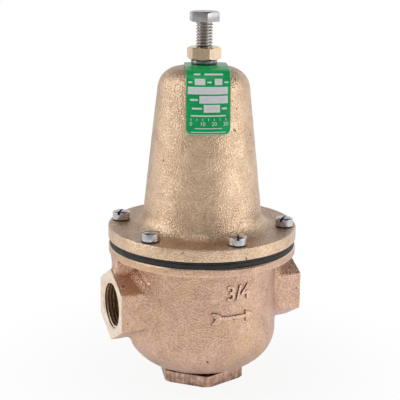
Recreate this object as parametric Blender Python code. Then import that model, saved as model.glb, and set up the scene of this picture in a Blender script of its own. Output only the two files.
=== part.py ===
"""Bronze pressure reducing valve with 3/4 inch pipe ports: direct acting, spring loaded, with a
diaphragm. Metres, +Z up. The inlet is at -X, the outlet at +X, the front at -Y, and the origin is
under the middle of the bottom plug. At rest the line is unpressurised, so the spring holds the
disc wide open below its seat."""

import math

import bmesh
import bpy
from mathutils import Matrix, Vector

# Clearances
GAP = 0.0003  # between faces that touch on the real valve
SCREW_HOLE_CLEARANCE = 0.00035
STEM_CLEARANCE = 0.0004

# Bottom plug
PLUG_FLATS = 0.0434
PLUG_HEX_HEIGHT = 0.0064
PLUG_TURN = math.radians(-14)
PLUG_RADIUS = 0.0169
PLUG_THREAD_LENGTH = 0.009
PLUG_PITCH = 0.0022
PLUG_THREAD_DEPTH = 0.0009
PLUG_FLOOR = 0.0045
PLUG_BOSS_RADIUS = 0.0098
PLUG_GASKET_THICKNESS = 0.0008
PLUG_GASKET_RIM = 0.0036
GUIDE_WALL = 0.0022

# Body casting
PORT_ABOVE_BOTTOM = 0.0391
PORT_LENGTH = 0.0118  # past the bowl
PORT_FLATS = 0.0352
PORT_EDGE_ROUND = 0.0009
PIPE_RADIUS = 0.0131
PIPE_PITCH = 0.0018143
PIPE_THREAD_DEPTH = 0.0012
PIPE_TAPER = 1 / 32
PORT_CHAMFER = 0.0004
BOWL_RADIUS = 0.0416
BOWL_CORNER_WIDTH = 0.0239
BOWL_CORNER_HEIGHT = 0.0211
NECK_TAPER = 0.0014
NECK_ROUND = 0.0028
BODY_WALL = 0.0042
BODY_FLANGE_THICKNESS = 0.0044
SPOT_FACE_RADIUS = 0.022
PARTITION = 0.004
PORT_LEDGE = 0.002
PARTITION_LEAN = 0.006
RIB_WIDTH = 0.0085
RIB_SETBACK = 0.0017
ARROW_LENGTH = 0.026
ARROW_WIDTH = 0.0062
ARROW_SHAFT = 0.002
ARROW_RELIEF = 0.0006
ARROW_HEIGHT = 0.0464
ARROW_TURN = math.radians(1.5)

# Seat and moving valve
SEAT_BORE = 0.008
SEAT_THREAD_RADIUS = 0.0115
SEAT_SHOULDER = 0.0024
SEAT_SHOULDER_HEIGHT = 0.003
SEAT_LIP = 0.0005
SEAT_STAND = 0.0009
SEAT_GASKET_THICKNESS = 0.0008
VALVE_LIFT = 0.004
DISC_RADIUS = 0.0101
DISC_THICKNESS = 0.003
DISC_STAND = 0.0008
HOLDER_WALL = 0.0014
HOLDER_FLOOR = 0.0036
HOLDER_CLEARANCE = 0.007
PIN_RADIUS = 0.004
PIN_ROOM = 0.0045
RETAINER_RADIUS = 0.0062
RETAINER_THICKNESS = 0.0015
STEM_RADIUS = 0.0039
STEM_COLLAR = 0.0016
STEM_COLLAR_HEIGHT = 0.0024
STEM_SHOULDER = 0.0034
STEM_SHOULDER_HEIGHT = 0.003

# Flanges, diaphragm and its plates
FLANGE_LAND = 0.0114
EDGE_STEP = 0.0007
DIAPHRAGM_THICKNESS = 0.0022
DIAPHRAGM_GASKET_THICKNESS = 0.0008
DIAPHRAGM_DISH = 0.0046
CONVOLUTION_WIDTH = 0.012
PLATE_THICKNESS = 0.0018
PLATE_CLEARANCE = 0.0045
PLATE_ROLL = 0.0012
SPRING_PLATE_THICKNESS = 0.0025
SPRING_PLATE_HUB = 0.0025
STEM_WASHER_THICKNESS = 0.0012
STEM_WASHER_RADIUS = 0.0088
STEM_NUT_FLATS = 0.0143
STEM_NUT_HEIGHT = 0.0055
STEM_END = 0.0012

# Spring cage
CAGE_FLANGE_THICKNESS = 0.0068
CAGE_HEIGHT = 0.0936
CAGE_FOOT_CLEARANCE = 0.012
CAGE_FOOT_ROUND = 0.008
CAGE_TOP_RADIUS = 0.0248
CAGE_SHOULDER_ROUND = 0.0118
CAGE_CROWN_RADIUS = 0.0085
CAGE_CROWN_SLOPE = math.radians(8.5)
CAGE_WALL = 0.0033
CAGE_THREAD_LENGTH = 0.0095
CAGE_BOSS_WALL = 0.004

# Spring and its button
SPRING_CLEARANCE = 0.0011
SPRING_WIRE = 0.005
SPRING_TURNS = 7.8
SPRING_END_TURNS = 0.9
SPRING_END_PITCH = 0.0053
BUTTON_PLATE = 0.0028
BUTTON_HUB = 0.0025
BUTTON_FLOOR = 0.0065
BUTTON_SOCKET_DEPTH = 0.0018
BUTTON_SOCKET_WALL = 0.0028

# Adjusting screw, lock nut, washer and tag
SCREW_RADIUS = 0.0047
SCREW_PITCH = 0.0015875
SCREW_THREAD_DEPTH = 0.00092
SCREW_LENGTH = 0.039
SCREW_TIP = 0.0012
SCREW_EXPOSED = 0.0133
HEAD_FLATS = 0.01447
HEAD_HEIGHT = 0.0052
HEAD_TURN = math.radians(-12.8)
NUT_FLATS = 0.0161
NUT_HEIGHT = 0.0066
NUT_TURN = math.radians(-5)
HEX_CHAMFER = math.radians(28)
WASHER_RADIUS = 0.007
WASHER_THICKNESS = 0.002
WASHER_SPLIT = 0.0011
WASHER_SPLIT_TURN = math.radians(66)
TAG_THICKNESS = 0.0004
TAG_WIDTH = 0.023
TAG_BACK = 0.0078
TAG_DROP = 0.0329
TAG_CORNER = 0.0028
TAG_TURN = math.radians(-18.3)
TAG_WRAP = 0.85
TAG_TAPER = 0.0006  # narrower at the top, on each side
TAG_SHIFT = 0.0009  # it hangs a little to one side of the screw

# Cage screws
SCREW_COUNT = 6
BOLT_LAND = 0.0049
CAGE_SCREW_RADIUS = 0.0031
CAGE_SCREW_HEAD = 0.0048
CAGE_SCREW_HEAD_HEIGHT = 0.0043
CAGE_SCREW_CROWN = 0.0008
CAGE_SCREW_STICKOUT = 0.0008
SLOT_WIDTH = 0.0013
SLOT_DEPTH = 0.002
SLOT_TURNS = (-21, -48, 25, 70, -38, 75)  # degrees, as the driver left each screw

# How finely round things are faceted
ROUND = 36
SMALL_ROUND = 18
CAGE_SCREW_ROUND = 14
DRILL_ROUND = 8
THREAD_ROUND = 12
PIPE_ROUND = 16
COIL_ROUND = 12
TAG_COLUMNS = 8
WIRE_ROUND = 8

# Heights and sizes that follow from those above
BODY_BOTTOM = PLUG_HEX_HEIGHT + GAP + PLUG_GASKET_THICKNESS + GAP
PORT_HEIGHT = BODY_BOTTOM + PORT_ABOVE_BOTTOM
PORT_REACH = BOWL_RADIUS + PORT_LENGTH
RIB_REACH = PORT_REACH - RIB_SETBACK
NECK_RADIUS = BOWL_RADIUS - NECK_TAPER
FLANGE_RADIUS = NECK_RADIUS + FLANGE_LAND
BOLT_CIRCLE = NECK_RADIUS + BOLT_LAND
CAGE_FOOT_RADIUS = BOLT_CIRCLE - CAGE_FOOT_CLEARANCE
SHELF_DROP = PIPE_RADIUS + PORT_LEDGE
SHELF_TOP = PORT_HEIGHT + SHELF_DROP + PARTITION
PLATE_BOTTOM = SHELF_TOP + PLATE_CLEARANCE
DIAPHRAGM_CENTRE = PLATE_BOTTOM + PLATE_THICKNESS + GAP
DIAPHRAGM_RIM = DIAPHRAGM_CENTRE + DIAPHRAGM_DISH
BODY_TOP = DIAPHRAGM_RIM - GAP
FLANGE_UNDERSIDE = BODY_TOP - BODY_FLANGE_THICKNESS
CHAMBER_RADIUS = NECK_RADIUS - BODY_WALL
GASKET_HEIGHT = DIAPHRAGM_RIM + DIAPHRAGM_THICKNESS + GAP
CAGE_BOTTOM = GASKET_HEIGHT + DIAPHRAGM_GASKET_THICKNESS + GAP
CAGE_FLANGE_TOP = CAGE_BOTTOM + CAGE_FLANGE_THICKNESS
CROWN = CAGE_BOTTOM + CAGE_HEIGHT
TAG_HEIGHT = CROWN + GAP
WASHER_HEIGHT = TAG_HEIGHT + TAG_THICKNESS + GAP
NUT_BOTTOM = WASHER_HEIGHT + WASHER_THICKNESS + GAP
HEAD_BOTTOM = NUT_BOTTOM + NUT_HEIGHT + SCREW_EXPOSED
SCREW_END = HEAD_BOTTOM - SCREW_LENGTH
SCREW_HOLE = SCREW_RADIUS + GAP
BUTTON_SOCKET = SCREW_END - GAP
BUTTON_BOTTOM = BUTTON_SOCKET - BUTTON_FLOOR
SPRING_OUTER = CAGE_TOP_RADIUS - CAGE_WALL - SPRING_CLEARANCE
SPRING_INNER = SPRING_OUTER - SPRING_WIRE
HUB_RADIUS = SPRING_INNER - GAP
PLATE_RADIUS = CHAMBER_RADIUS - CONVOLUTION_WIDTH
SPRING_PLATE_BOTTOM = DIAPHRAGM_CENTRE + DIAPHRAGM_THICKNESS + GAP
SPRING_SEAT = SPRING_PLATE_BOTTOM + SPRING_PLATE_THICKNESS
STEM_WASHER_HEIGHT = SPRING_SEAT + SPRING_PLATE_HUB + GAP
STEM_NUT_BOTTOM = STEM_WASHER_HEIGHT + STEM_WASHER_THICKNESS + GAP
STEM_TOP = STEM_NUT_BOTTOM + STEM_NUT_HEIGHT + STEM_END
STEM_HOLE = STEM_RADIUS + STEM_CLEARANCE
WEB_BOTTOM = PORT_HEIGHT - PARTITION / 2
SEAT_GASKET_HEIGHT = WEB_BOTTOM - GAP - SEAT_GASKET_THICKNESS
SEAT_SHOULDER_TOP = SEAT_GASKET_HEIGHT - GAP
SEAT_RADIUS = SEAT_THREAD_RADIUS + SEAT_SHOULDER
SEAT_FACE = SEAT_SHOULDER_TOP - SEAT_SHOULDER_HEIGHT - SEAT_LIP
DISC_TOP = SEAT_FACE - GAP - VALVE_LIFT
DISC_BOTTOM = DISC_TOP - DISC_THICKNESS
HOLDER_BOTTOM = DISC_BOTTOM - GAP - HOLDER_FLOOR
PIN_BOTTOM = PLUG_FLOOR + PIN_ROOM
GUIDE_TOP = HOLDER_BOTTOM - HOLDER_CLEARANCE
PLUG_HOLE = PLUG_RADIUS + GAP
WALL_FOOT = SEAT_RADIUS + GAP
TAPPED_HOLE = CAGE_SCREW_RADIUS + SCREW_HOLE_CLEARANCE


def material(name, colour, roughness, metallic):
    """A Principled material of one colour."""
    made = bpy.data.materials.new(name)
    made.use_nodes = True
    shader = made.node_tree.nodes["Principled BSDF"]
    shader.inputs["Base Color"].default_value = (*colour, 1)
    shader.inputs["Roughness"].default_value = roughness
    shader.inputs["Metallic"].default_value = metallic
    return made


def add_object(name, mesh, finish, height=0.0, turn=0.0, parent=None):
    """Puts a bmesh in the scene as one named object at a height on the valve's axis."""
    bmesh.ops.recalc_face_normals(mesh, faces=mesh.faces)
    data = bpy.data.meshes.new(name)
    mesh.to_mesh(data)
    mesh.free()
    data.shade_smooth()
    data.set_sharp_from_angle(angle=math.radians(32))
    data.materials.append(finish)
    made = bpy.data.objects.new(name, data)
    made.location.z = height
    made.rotation_euler.z = turn
    made.parent = parent
    bpy.context.scene.collection.objects.link(made)
    return made


def add_cutter(name, mesh, height=0.0, turn=0.0):
    """A helper that shapes another object and is never a piece itself."""
    made = add_object(name, mesh, CUTTER, height, turn)
    made.hide_render = True
    made.display_type = "WIRE"
    return made


def shape_with(target, operation, helper):
    """Adds an exact Boolean to the target."""
    modifier = target.modifiers.new(f"{operation.lower()} {helper.name}", "BOOLEAN")
    modifier.operation = operation
    modifier.solver = "EXACT"
    modifier.object = helper


def arc(centre, radius, start, end, steps):
    """Points along an arc, from one angle to the other, in degrees."""
    radii = (radius, radius) if isinstance(radius, float) else radius
    points = []
    for step in range(steps + 1):
        angle = math.radians(start + (end - start) * step / steps)
        points.append((centre[0] + radii[0] * math.cos(angle), centre[1] + radii[1] * math.sin(angle)))
    return points


def turned(outline, segments=ROUND):
    """A solid turned about Z from a closed outline of (radius, height) points."""
    mesh = bmesh.new()
    points = [mesh.verts.new((radius, 0, height)) for radius, height in outline]
    following = points[1:]
    if min(radius for radius, _ in outline) > 0:
        following = points[1:] + points[:1]
    edges = [mesh.edges.new(pair) for pair in zip(points, following)]
    bmesh.ops.spin(
        mesh, geom=points + edges, axis=(0, 0, 1), cent=(0, 0, 0), angle=2 * math.pi,
        steps=segments, use_merge=True,
    )
    bmesh.ops.remove_doubles(mesh, verts=mesh.verts, dist=1e-7)
    bmesh.ops.recalc_face_normals(mesh, faces=mesh.faces)
    return mesh


def ring(inner, outer, height, segments=ROUND):
    """A flat ring or, with an inner radius of 0, a disc, standing on its own origin."""
    return turned([(inner, 0), (outer, 0), (outer, height), (inner, height)], segments)


def prism(outline, low, high):
    """A solid raised along Z from an outline of (x, y) points."""
    mesh = bmesh.new()
    face = mesh.faces.new([mesh.verts.new((x, y, low)) for x, y in outline])
    raised = bmesh.ops.extrude_face_region(mesh, geom=[face])["geom"]
    moved = [piece for piece in raised if isinstance(piece, bmesh.types.BMVert)]
    bmesh.ops.translate(mesh, verts=moved, vec=(0, 0, high - low))
    bmesh.ops.recalc_face_normals(mesh, faces=mesh.faces)
    return mesh


def hexagon(flats, height, round_edges=0.0):
    """A hexagonal prism with a corner at -Y, standing on its own origin."""
    corner = flats / 2 / math.cos(math.pi / 6)
    outline = [
        (corner * math.sin(side * math.pi / 3), -corner * math.cos(side * math.pi / 3))
        for side in range(6)
    ]
    mesh = prism(outline, 0, height)
    if round_edges:
        bmesh.ops.bevel(mesh, geom=list(mesh.edges), offset=round_edges, segments=1, affect="EDGES")
    return mesh


def threaded_rod(crest, depth, pitch, length, segments, taper=0.0):
    """A right-hand threaded rod along Z, from a crest helix and a root helix joined by two strips."""
    mesh = bmesh.new()
    steps = math.ceil(length / pitch * segments)

    def along(radius, step, lift):
        angle = 2 * math.pi * step / segments
        height = pitch * (step / segments + lift)
        grown = radius + taper * height
        return mesh.verts.new((grown * math.cos(angle), grown * math.sin(angle), height))

    roots = [along(crest - depth, step, 0) for step in range(steps + segments + 1)]
    crests = [along(crest, step, 0.5) for step in range(steps + 1)]
    for step in range(steps):
        above = step + segments
        mesh.faces.new((roots[step], roots[step + 1], crests[step + 1], crests[step]))
        mesh.faces.new((crests[step], crests[step + 1], roots[above + 1], roots[above]))
    for first, crest_end in ((0, crests[0]), (steps, crests[-1])):
        loop = roots[first:first + segments + 1] + [crest_end]
        centre = mesh.verts.new((0, 0, pitch * (first / segments + 0.5)))
        for here, there in zip(loop, loop[1:] + loop[:1]):
            mesh.faces.new((centre, here, there))
    bmesh.ops.recalc_face_normals(mesh, faces=mesh.faces)
    return mesh


def moved_mesh(mesh, matrix):
    """The same bmesh after a placement."""
    bmesh.ops.transform(mesh, matrix=matrix, verts=mesh.verts)
    return mesh


def on_bolt_circle(number):
    """The angle of a cage screw about Z. The first stands at the front."""
    return 2 * math.pi * number / SCREW_COUNT - math.pi / 2


def cut_bolt_holes(target, radius, low, high):
    """All the holes through a flange, as one cutter."""
    drills = bmesh.new()
    for number in range(SCREW_COUNT):
        angle = on_bolt_circle(number)
        place = Matrix.Translation((BOLT_CIRCLE * math.cos(angle), BOLT_CIRCLE * math.sin(angle), 0))
        place @= Matrix.Translation((0, 0, (high - low) / 2))
        bmesh.ops.create_cone(
            drills, cap_ends=True, segments=DRILL_ROUND, radius1=radius, radius2=radius,
            depth=high - low, matrix=place,
        )
    shape_with(target, "DIFFERENCE", add_cutter(f"{target.name}_drills", drills, low))


# --- the body casting -------------------------------------------------------------------------


def bowl_points(shrink, start, end, steps):
    """The rounded bottom of the bowl, or of its inside when shrunk by the wall."""
    centre = (BOWL_RADIUS - BOWL_CORNER_WIDTH, BODY_BOTTOM + BOWL_CORNER_HEIGHT)
    return arc(centre, (BOWL_CORNER_WIDTH - shrink, BOWL_CORNER_HEIGHT - shrink), start, end, steps)


def body_outline():
    """Half of the casting's outside, from the spot face for the plug up to the flange."""
    fillet = (NECK_RADIUS + NECK_ROUND, FLANGE_UNDERSIDE - NECK_ROUND)
    outline = [(0, BODY_BOTTOM), (SPOT_FACE_RADIUS, BODY_BOTTOM)]
    outline += bowl_points(0, -78, 0, 9)
    outline += arc(fillet, NECK_ROUND, 180, 90, 3)
    outline += [
        (FLANGE_RADIUS, FLANGE_UNDERSIDE),
        (FLANGE_RADIUS, BODY_TOP - EDGE_STEP),
        (FLANGE_RADIUS - EDGE_STEP / 2, BODY_TOP),
        (0, BODY_TOP),
    ]
    return outline


def chamber_outline():
    """Half of the casting's inside, which leaves a threaded boss for the plug."""
    boss_top = BODY_BOTTOM + PLUG_THREAD_LENGTH
    boss_radius = SPOT_FACE_RADIUS
    outline = [(0, boss_top), (boss_radius, boss_top)]
    outline += bowl_points(BODY_WALL, -72, 0, 6)
    outline += [(CHAMBER_RADIUS, FLANGE_UNDERSIDE), (CHAMBER_RADIUS, BODY_TOP + GAP), (0, BODY_TOP + GAP)]
    return outline


def partition_side(lift):
    """The line of the partition across the body: over the inlet, level at the seat, under the outlet."""
    lean = WALL_FOOT + PARTITION_LEAN
    level = PORT_HEIGHT + lift
    reach = PORT_REACH
    return [
        (-reach, level + SHELF_DROP + PARTITION / 2), (-lean, level + SHELF_DROP + PARTITION / 2),
        (-WALL_FOOT, level), (WALL_FOOT, level),
        (lean, level - SHELF_DROP - PARTITION / 2), (reach, level - SHELF_DROP - PARTITION / 2),
    ]


def chamber_cutter(name, side, closing_height):
    """The part of the chamber on one side of the partition."""
    outline = side + [(PORT_REACH, closing_height), (-PORT_REACH, closing_height)]
    upright = Matrix.Rotation(math.pi / 2, 4, "X")
    block = moved_mesh(prism(outline, -FLANGE_RADIUS, FLANGE_RADIUS), upright)
    chamber = add_cutter(name, turned(chamber_outline()))
    shape_with(chamber, "INTERSECT", add_cutter(f"{name}_side", block))
    return chamber


def port_hexagon(side):
    """A hexagonal port with a corner on top, from inside the bowl out to its face."""
    mesh = hexagon(PORT_FLATS, PORT_REACH, PORT_EDGE_ROUND)
    place = Matrix.Translation((0, 0, PORT_HEIGHT))
    place @= Matrix.Rotation(side * math.pi / 2, 4, "Y") @ Matrix.Rotation(math.pi / 2, 4, "Z")
    return moved_mesh(mesh, place)


def port_thread(side):
    """The tapered pipe thread of a port, with its countersink, as a cutter."""
    length = PORT_REACH - CHAMBER_RADIUS + 2 * PIPE_PITCH
    small_end = PIPE_RADIUS - PIPE_TAPER * length
    mesh = threaded_rod(small_end, PIPE_THREAD_DEPTH, PIPE_PITCH, length, PIPE_ROUND, PIPE_TAPER)
    start = PORT_REACH - length
    place = Matrix.Translation((side * start, 0, PORT_HEIGHT)) @ Matrix.Rotation(side * math.pi / 2, 4, "Y")
    return moved_mesh(mesh, place)


def port_countersink(side):
    """The short cone that leads the pipe into the thread."""
    narrow = PIPE_RADIUS - PIPE_THREAD_DEPTH / 3
    wide = PIPE_RADIUS + PORT_CHAMFER
    depth = wide - narrow
    mesh = turned([(0, 0), (narrow, 0), (wide, depth), (wide, 2 * depth), (0, 2 * depth)], SMALL_ROUND)
    place = Matrix.Translation((side * (PORT_REACH - depth), 0, PORT_HEIGHT))
    return moved_mesh(mesh, place @ Matrix.Rotation(side * math.pi / 2, 4, "Y"))


def flow_arrow():
    """The raised arrow that shows the flow, as a slab that the bowl's own curve trims."""
    half, head, shaft = ARROW_LENGTH / 2, ARROW_WIDTH / 2, ARROW_SHAFT / 2
    outline = [
        (-half, -head), (-half + head, -shaft), (half - 2 * head, -shaft), (half - 2 * head, -head),
        (half, 0), (half - 2 * head, head), (half - 2 * head, shaft), (-half + head, shaft), (-half, head),
        (-half + head / 2, 0),
    ]
    slab = prism(outline, CHAMBER_RADIUS - PARTITION, FLANGE_RADIUS)
    place = Matrix.Rotation(ARROW_TURN, 4, "Z") @ Matrix.Translation((0, 0, ARROW_HEIGHT))
    return moved_mesh(slab, place @ Matrix.Rotation(math.pi / 2, 4, "X"))


def add_arrow(body):
    """Joins the arrow to the bowl, standing a little proud of it."""
    arrow = add_cutter("flow_arrow", flow_arrow())
    bowl_top = BODY_BOTTOM + BOWL_CORNER_HEIGHT
    neck = FLANGE_UNDERSIDE - NECK_ROUND - bowl_top
    skin = [
        (CHAMBER_RADIUS, 0), (BOWL_RADIUS + ARROW_RELIEF, 0),
        (NECK_RADIUS + ARROW_RELIEF, neck), (CHAMBER_RADIUS, neck),
    ]
    shape_with(arrow, "INTERSECT", add_cutter("arrow_skin", turned(skin), bowl_top))
    shape_with(body, "UNION", arrow)


def port_rib(side):
    """The short rib that ties the top of a port to the flange."""
    half = RIB_WIDTH / 2
    low = PORT_HEIGHT + PORT_FLATS / 2
    mesh = prism([(0, -half), (RIB_REACH, -half), (RIB_REACH, half), (0, half)], low, FLANGE_UNDERSIDE + GAP)
    return moved_mesh(mesh, Matrix.Rotation(0 if side > 0 else math.pi, 4, "Z"))


def build_body():
    body = add_object("body", turned(body_outline()), BODY_BRONZE)
    for side, name in ((-1, "inlet"), (1, "outlet")):
        shape_with(body, "UNION", add_cutter(f"{name}_hexagon", port_hexagon(side)))
        shape_with(body, "UNION", add_cutter(f"{name}_rib", port_rib(side)))
    add_arrow(body)
    upper = chamber_cutter("outlet_chamber", partition_side(PARTITION / 2), CROWN)
    lower = chamber_cutter("inlet_chamber", partition_side(-PARTITION / 2), 0)
    shape_with(body, "DIFFERENCE", upper)
    shape_with(body, "DIFFERENCE", lower)
    for side, name in ((-1, "inlet"), (1, "outlet")):
        shape_with(body, "DIFFERENCE", add_cutter(f"{name}_thread", port_thread(side)))
        shape_with(body, "DIFFERENCE", add_cutter(f"{name}_countersink", port_countersink(side)))
    seat_drill = ring(0, SEAT_THREAD_RADIUS + GAP, 2 * PARTITION)
    shape_with(body, "DIFFERENCE", add_cutter("seat_hole", seat_drill, PORT_HEIGHT - PARTITION))
    plug_depth = PLUG_THREAD_LENGTH + BODY_BOTTOM + PARTITION
    shape_with(body, "DIFFERENCE", add_cutter("plug_hole", ring(0, PLUG_HOLE, plug_depth)))
    cut_bolt_holes(body, TAPPED_HOLE, FLANGE_UNDERSIDE - PARTITION, BODY_TOP + PARTITION)
    return body


# --- the bottom plug ---------------------------------------------------------------------------


def build_bottom_plug():
    plug = add_object("bottom_plug", hexagon(PLUG_FLATS, PLUG_HEX_HEIGHT), PLUG_BRONZE, turn=PLUG_TURN)
    corner = PLUG_FLATS / 2 / math.cos(math.pi / 6)
    chamfer = (corner - PLUG_FLATS / 2) * math.tan(HEX_CHAMFER)
    top = PLUG_HEX_HEIGHT
    envelope = [(0, 0), (PLUG_FLATS / 2, 0), (corner, chamfer), (corner, top), (0, top)]
    shape_with(plug, "INTERSECT", add_cutter("plug_chamfer", turned(envelope)))
    thread_start = PLUG_HEX_HEIGHT - PLUG_PITCH
    thread_length = BODY_BOTTOM + PLUG_THREAD_LENGTH - thread_start
    rod = threaded_rod(PLUG_RADIUS, PLUG_THREAD_DEPTH, PLUG_PITCH, thread_length, SMALL_ROUND)
    shape_with(plug, "UNION", add_cutter("plug_thread", rod, thread_start))
    boss = ring(0, PLUG_BOSS_RADIUS, GUIDE_TOP - PLUG_FLOOR)
    shape_with(plug, "UNION", add_cutter("plug_boss", boss, PLUG_FLOOR))
    bore = PIN_RADIUS + STEM_CLEARANCE + GUIDE_WALL + GAP
    guide_bore = add_cutter("guide_bore", ring(0, bore, GUIDE_TOP, SMALL_ROUND), PLUG_FLOOR)
    shape_with(plug, "DIFFERENCE", guide_bore)

    gasket = ring(PLUG_HOLE, PLUG_HOLE + PLUG_GASKET_RIM, PLUG_GASKET_THICKNESS)
    add_object("bottom_plug_gasket", gasket, COPPER, PLUG_HEX_HEIGHT + GAP)
    guide_inner = PIN_RADIUS + STEM_CLEARANCE
    guide_length = GUIDE_TOP - PLUG_FLOOR - GAP
    guide = ring(guide_inner, guide_inner + GUIDE_WALL, guide_length, SMALL_ROUND)
    add_object("stem_guide", guide, STAINLESS, PLUG_FLOOR + GAP)


# --- the seat ----------------------------------------------------------------------------------


def build_seat():
    height = WEB_BOTTOM + PARTITION + SEAT_STAND - SEAT_SHOULDER_TOP
    outline = [
        (SEAT_BORE, -SEAT_SHOULDER_HEIGHT - SEAT_LIP),
        (SEAT_BORE + SEAT_LIP, -SEAT_SHOULDER_HEIGHT - SEAT_LIP),
        (SEAT_BORE + 2 * SEAT_LIP, -SEAT_SHOULDER_HEIGHT),
        (SEAT_RADIUS, -SEAT_SHOULDER_HEIGHT), (SEAT_RADIUS, 0),
        (SEAT_THREAD_RADIUS, 0), (SEAT_THREAD_RADIUS, height), (SEAT_BORE, height),
    ]
    add_object("seat_ring", turned(outline, SMALL_ROUND + SMALL_ROUND // 2), STAINLESS, SEAT_SHOULDER_TOP)
    inner = SEAT_THREAD_RADIUS + GAP
    gasket = ring(inner, SEAT_RADIUS, SEAT_GASKET_THICKNESS, SMALL_ROUND + SMALL_ROUND // 2)
    add_object("seat_gasket", gasket, FIBRE, SEAT_GASKET_HEIGHT)


# --- the moving valve: disc, stem, plates ------------------------------------------------------


def build_disc_holder(carrier):
    pocket = DISC_RADIUS + GAP
    outer = pocket + HOLDER_WALL
    rim = DISC_TOP - DISC_STAND - HOLDER_BOTTOM
    outline = [
        (0, PIN_BOTTOM - HOLDER_BOTTOM), (PIN_RADIUS, PIN_BOTTOM - HOLDER_BOTTOM),
        (PIN_RADIUS, 0), (outer, 0), (outer, rim), (pocket, rim),
        (pocket, HOLDER_FLOOR), (STEM_HOLE, HOLDER_FLOOR), (STEM_HOLE, GAP), (0, GAP),
    ]
    add_object("disc_holder", turned(outline, SMALL_ROUND), BRASS, HOLDER_BOTTOM, parent=carrier)
    disc = ring(STEM_HOLE, DISC_RADIUS, DISC_THICKNESS, SMALL_ROUND)
    add_object("valve_disc", disc, RUBBER, DISC_BOTTOM, parent=carrier)
    retainer = ring(STEM_HOLE, RETAINER_RADIUS, RETAINER_THICKNESS, SMALL_ROUND)
    add_object("disc_retainer", retainer, STAINLESS, DISC_TOP + GAP, parent=carrier)


def build_stem(carrier):
    collar = DISC_TOP + GAP + RETAINER_THICKNESS + GAP
    shoulder = PLATE_BOTTOM - GAP
    outline = [
        (0, HOLDER_BOTTOM + 2 * GAP), (STEM_RADIUS, HOLDER_BOTTOM + 2 * GAP), (STEM_RADIUS, collar),
        (STEM_RADIUS + STEM_COLLAR, collar), (STEM_RADIUS + STEM_COLLAR, collar + STEM_COLLAR_HEIGHT),
        (STEM_RADIUS, collar + STEM_COLLAR_HEIGHT), (STEM_RADIUS, shoulder - STEM_SHOULDER_HEIGHT),
        (STEM_RADIUS + STEM_SHOULDER, shoulder - STEM_SHOULDER_HEIGHT),
        (STEM_RADIUS + STEM_SHOULDER, shoulder), (STEM_RADIUS, shoulder),
        (STEM_RADIUS, STEM_TOP - GAP), (STEM_RADIUS - GAP, STEM_TOP), (0, STEM_TOP),
    ]
    add_object("valve_stem", turned(outline, SMALL_ROUND), STAINLESS, parent=carrier)


def build_plates(carrier):
    lower = [
        (STEM_HOLE, 0), (PLATE_RADIUS - PLATE_ROLL, 0), (PLATE_RADIUS, PLATE_ROLL),
        (PLATE_RADIUS, PLATE_THICKNESS), (STEM_HOLE, PLATE_THICKNESS),
    ]
    add_object("diaphragm_plate", turned(lower), STEEL, PLATE_BOTTOM, parent=carrier)
    seat = SPRING_PLATE_THICKNESS
    upper = [
        (STEM_HOLE, 0), (PLATE_RADIUS, 0), (PLATE_RADIUS, seat - PLATE_ROLL / 2),
        (PLATE_RADIUS - PLATE_ROLL / 2, seat), (HUB_RADIUS, seat),
        (HUB_RADIUS - PLATE_ROLL, seat + SPRING_PLATE_HUB), (STEM_HOLE, seat + SPRING_PLATE_HUB),
    ]
    add_object("spring_plate", turned(upper), STEEL, SPRING_PLATE_BOTTOM, parent=carrier)
    washer = ring(STEM_HOLE, STEM_WASHER_RADIUS, STEM_WASHER_THICKNESS, SMALL_ROUND)
    add_object("stem_washer", washer, STAINLESS, STEM_WASHER_HEIGHT, parent=carrier)
    nut = add_object(
        "stem_nut", hexagon(STEM_NUT_FLATS, STEM_NUT_HEIGHT), STAINLESS, STEM_NUT_BOTTOM, parent=carrier
    )
    shape_with(nut, "DIFFERENCE", add_cutter("stem_nut_bore", bore_cutter(STEM_HOLE), STEM_NUT_BOTTOM - GAP))


def bore_cutter(radius):
    """A drill longer than any nut."""
    return ring(0, radius, 2 * NUT_HEIGHT, SMALL_ROUND)


def diaphragm_outline():
    """Flat rim, sloping convolution and a flat middle that hangs lower by the dish."""
    rim = CHAMBER_RADIUS + GAP
    middle = PLATE_RADIUS + GAP
    edge = FLANGE_RADIUS - EDGE_STEP
    below = [(STEM_HOLE, 0), (middle, 0), (rim, DIAPHRAGM_DISH), (edge, DIAPHRAGM_DISH)]
    above = [(radius, height + DIAPHRAGM_THICKNESS) for radius, height in reversed(below)]
    return below + above


def build_diaphragm():
    diaphragm = add_object("diaphragm", turned(diaphragm_outline()), RUBBER, DIAPHRAGM_CENTRE)
    cut_bolt_holes(diaphragm, TAPPED_HOLE, DIAPHRAGM_CENTRE, CAGE_BOTTOM)
    gasket_ring = ring(CHAMBER_RADIUS + GAP, FLANGE_RADIUS - EDGE_STEP / 2, DIAPHRAGM_GASKET_THICKNESS)
    gasket = add_object("diaphragm_gasket", gasket_ring, RUBBER, GASKET_HEIGHT)
    cut_bolt_holes(gasket, TAPPED_HOLE, DIAPHRAGM_CENTRE, CAGE_BOTTOM)


# --- the spring cage ---------------------------------------------------------------------------


def shoulder_centre():
    """The centre of the cage's rounded shoulder, so that its arc meets the sloping crown."""
    radius = CAGE_TOP_RADIUS - CAGE_SHOULDER_ROUND
    run = radius + CAGE_SHOULDER_ROUND * math.sin(CAGE_CROWN_SLOPE) - CAGE_CROWN_RADIUS
    drop = run * math.tan(CAGE_CROWN_SLOPE) + CAGE_SHOULDER_ROUND * math.cos(CAGE_CROWN_SLOPE)
    return radius, CROWN - drop


def cage_lean():
    """The slope of the cage's cone: how much radius it loses for each unit of height."""
    _, height = shoulder_centre()
    return (CAGE_FOOT_RADIUS - CAGE_TOP_RADIUS) / (height - CAGE_FLANGE_TOP)


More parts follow.
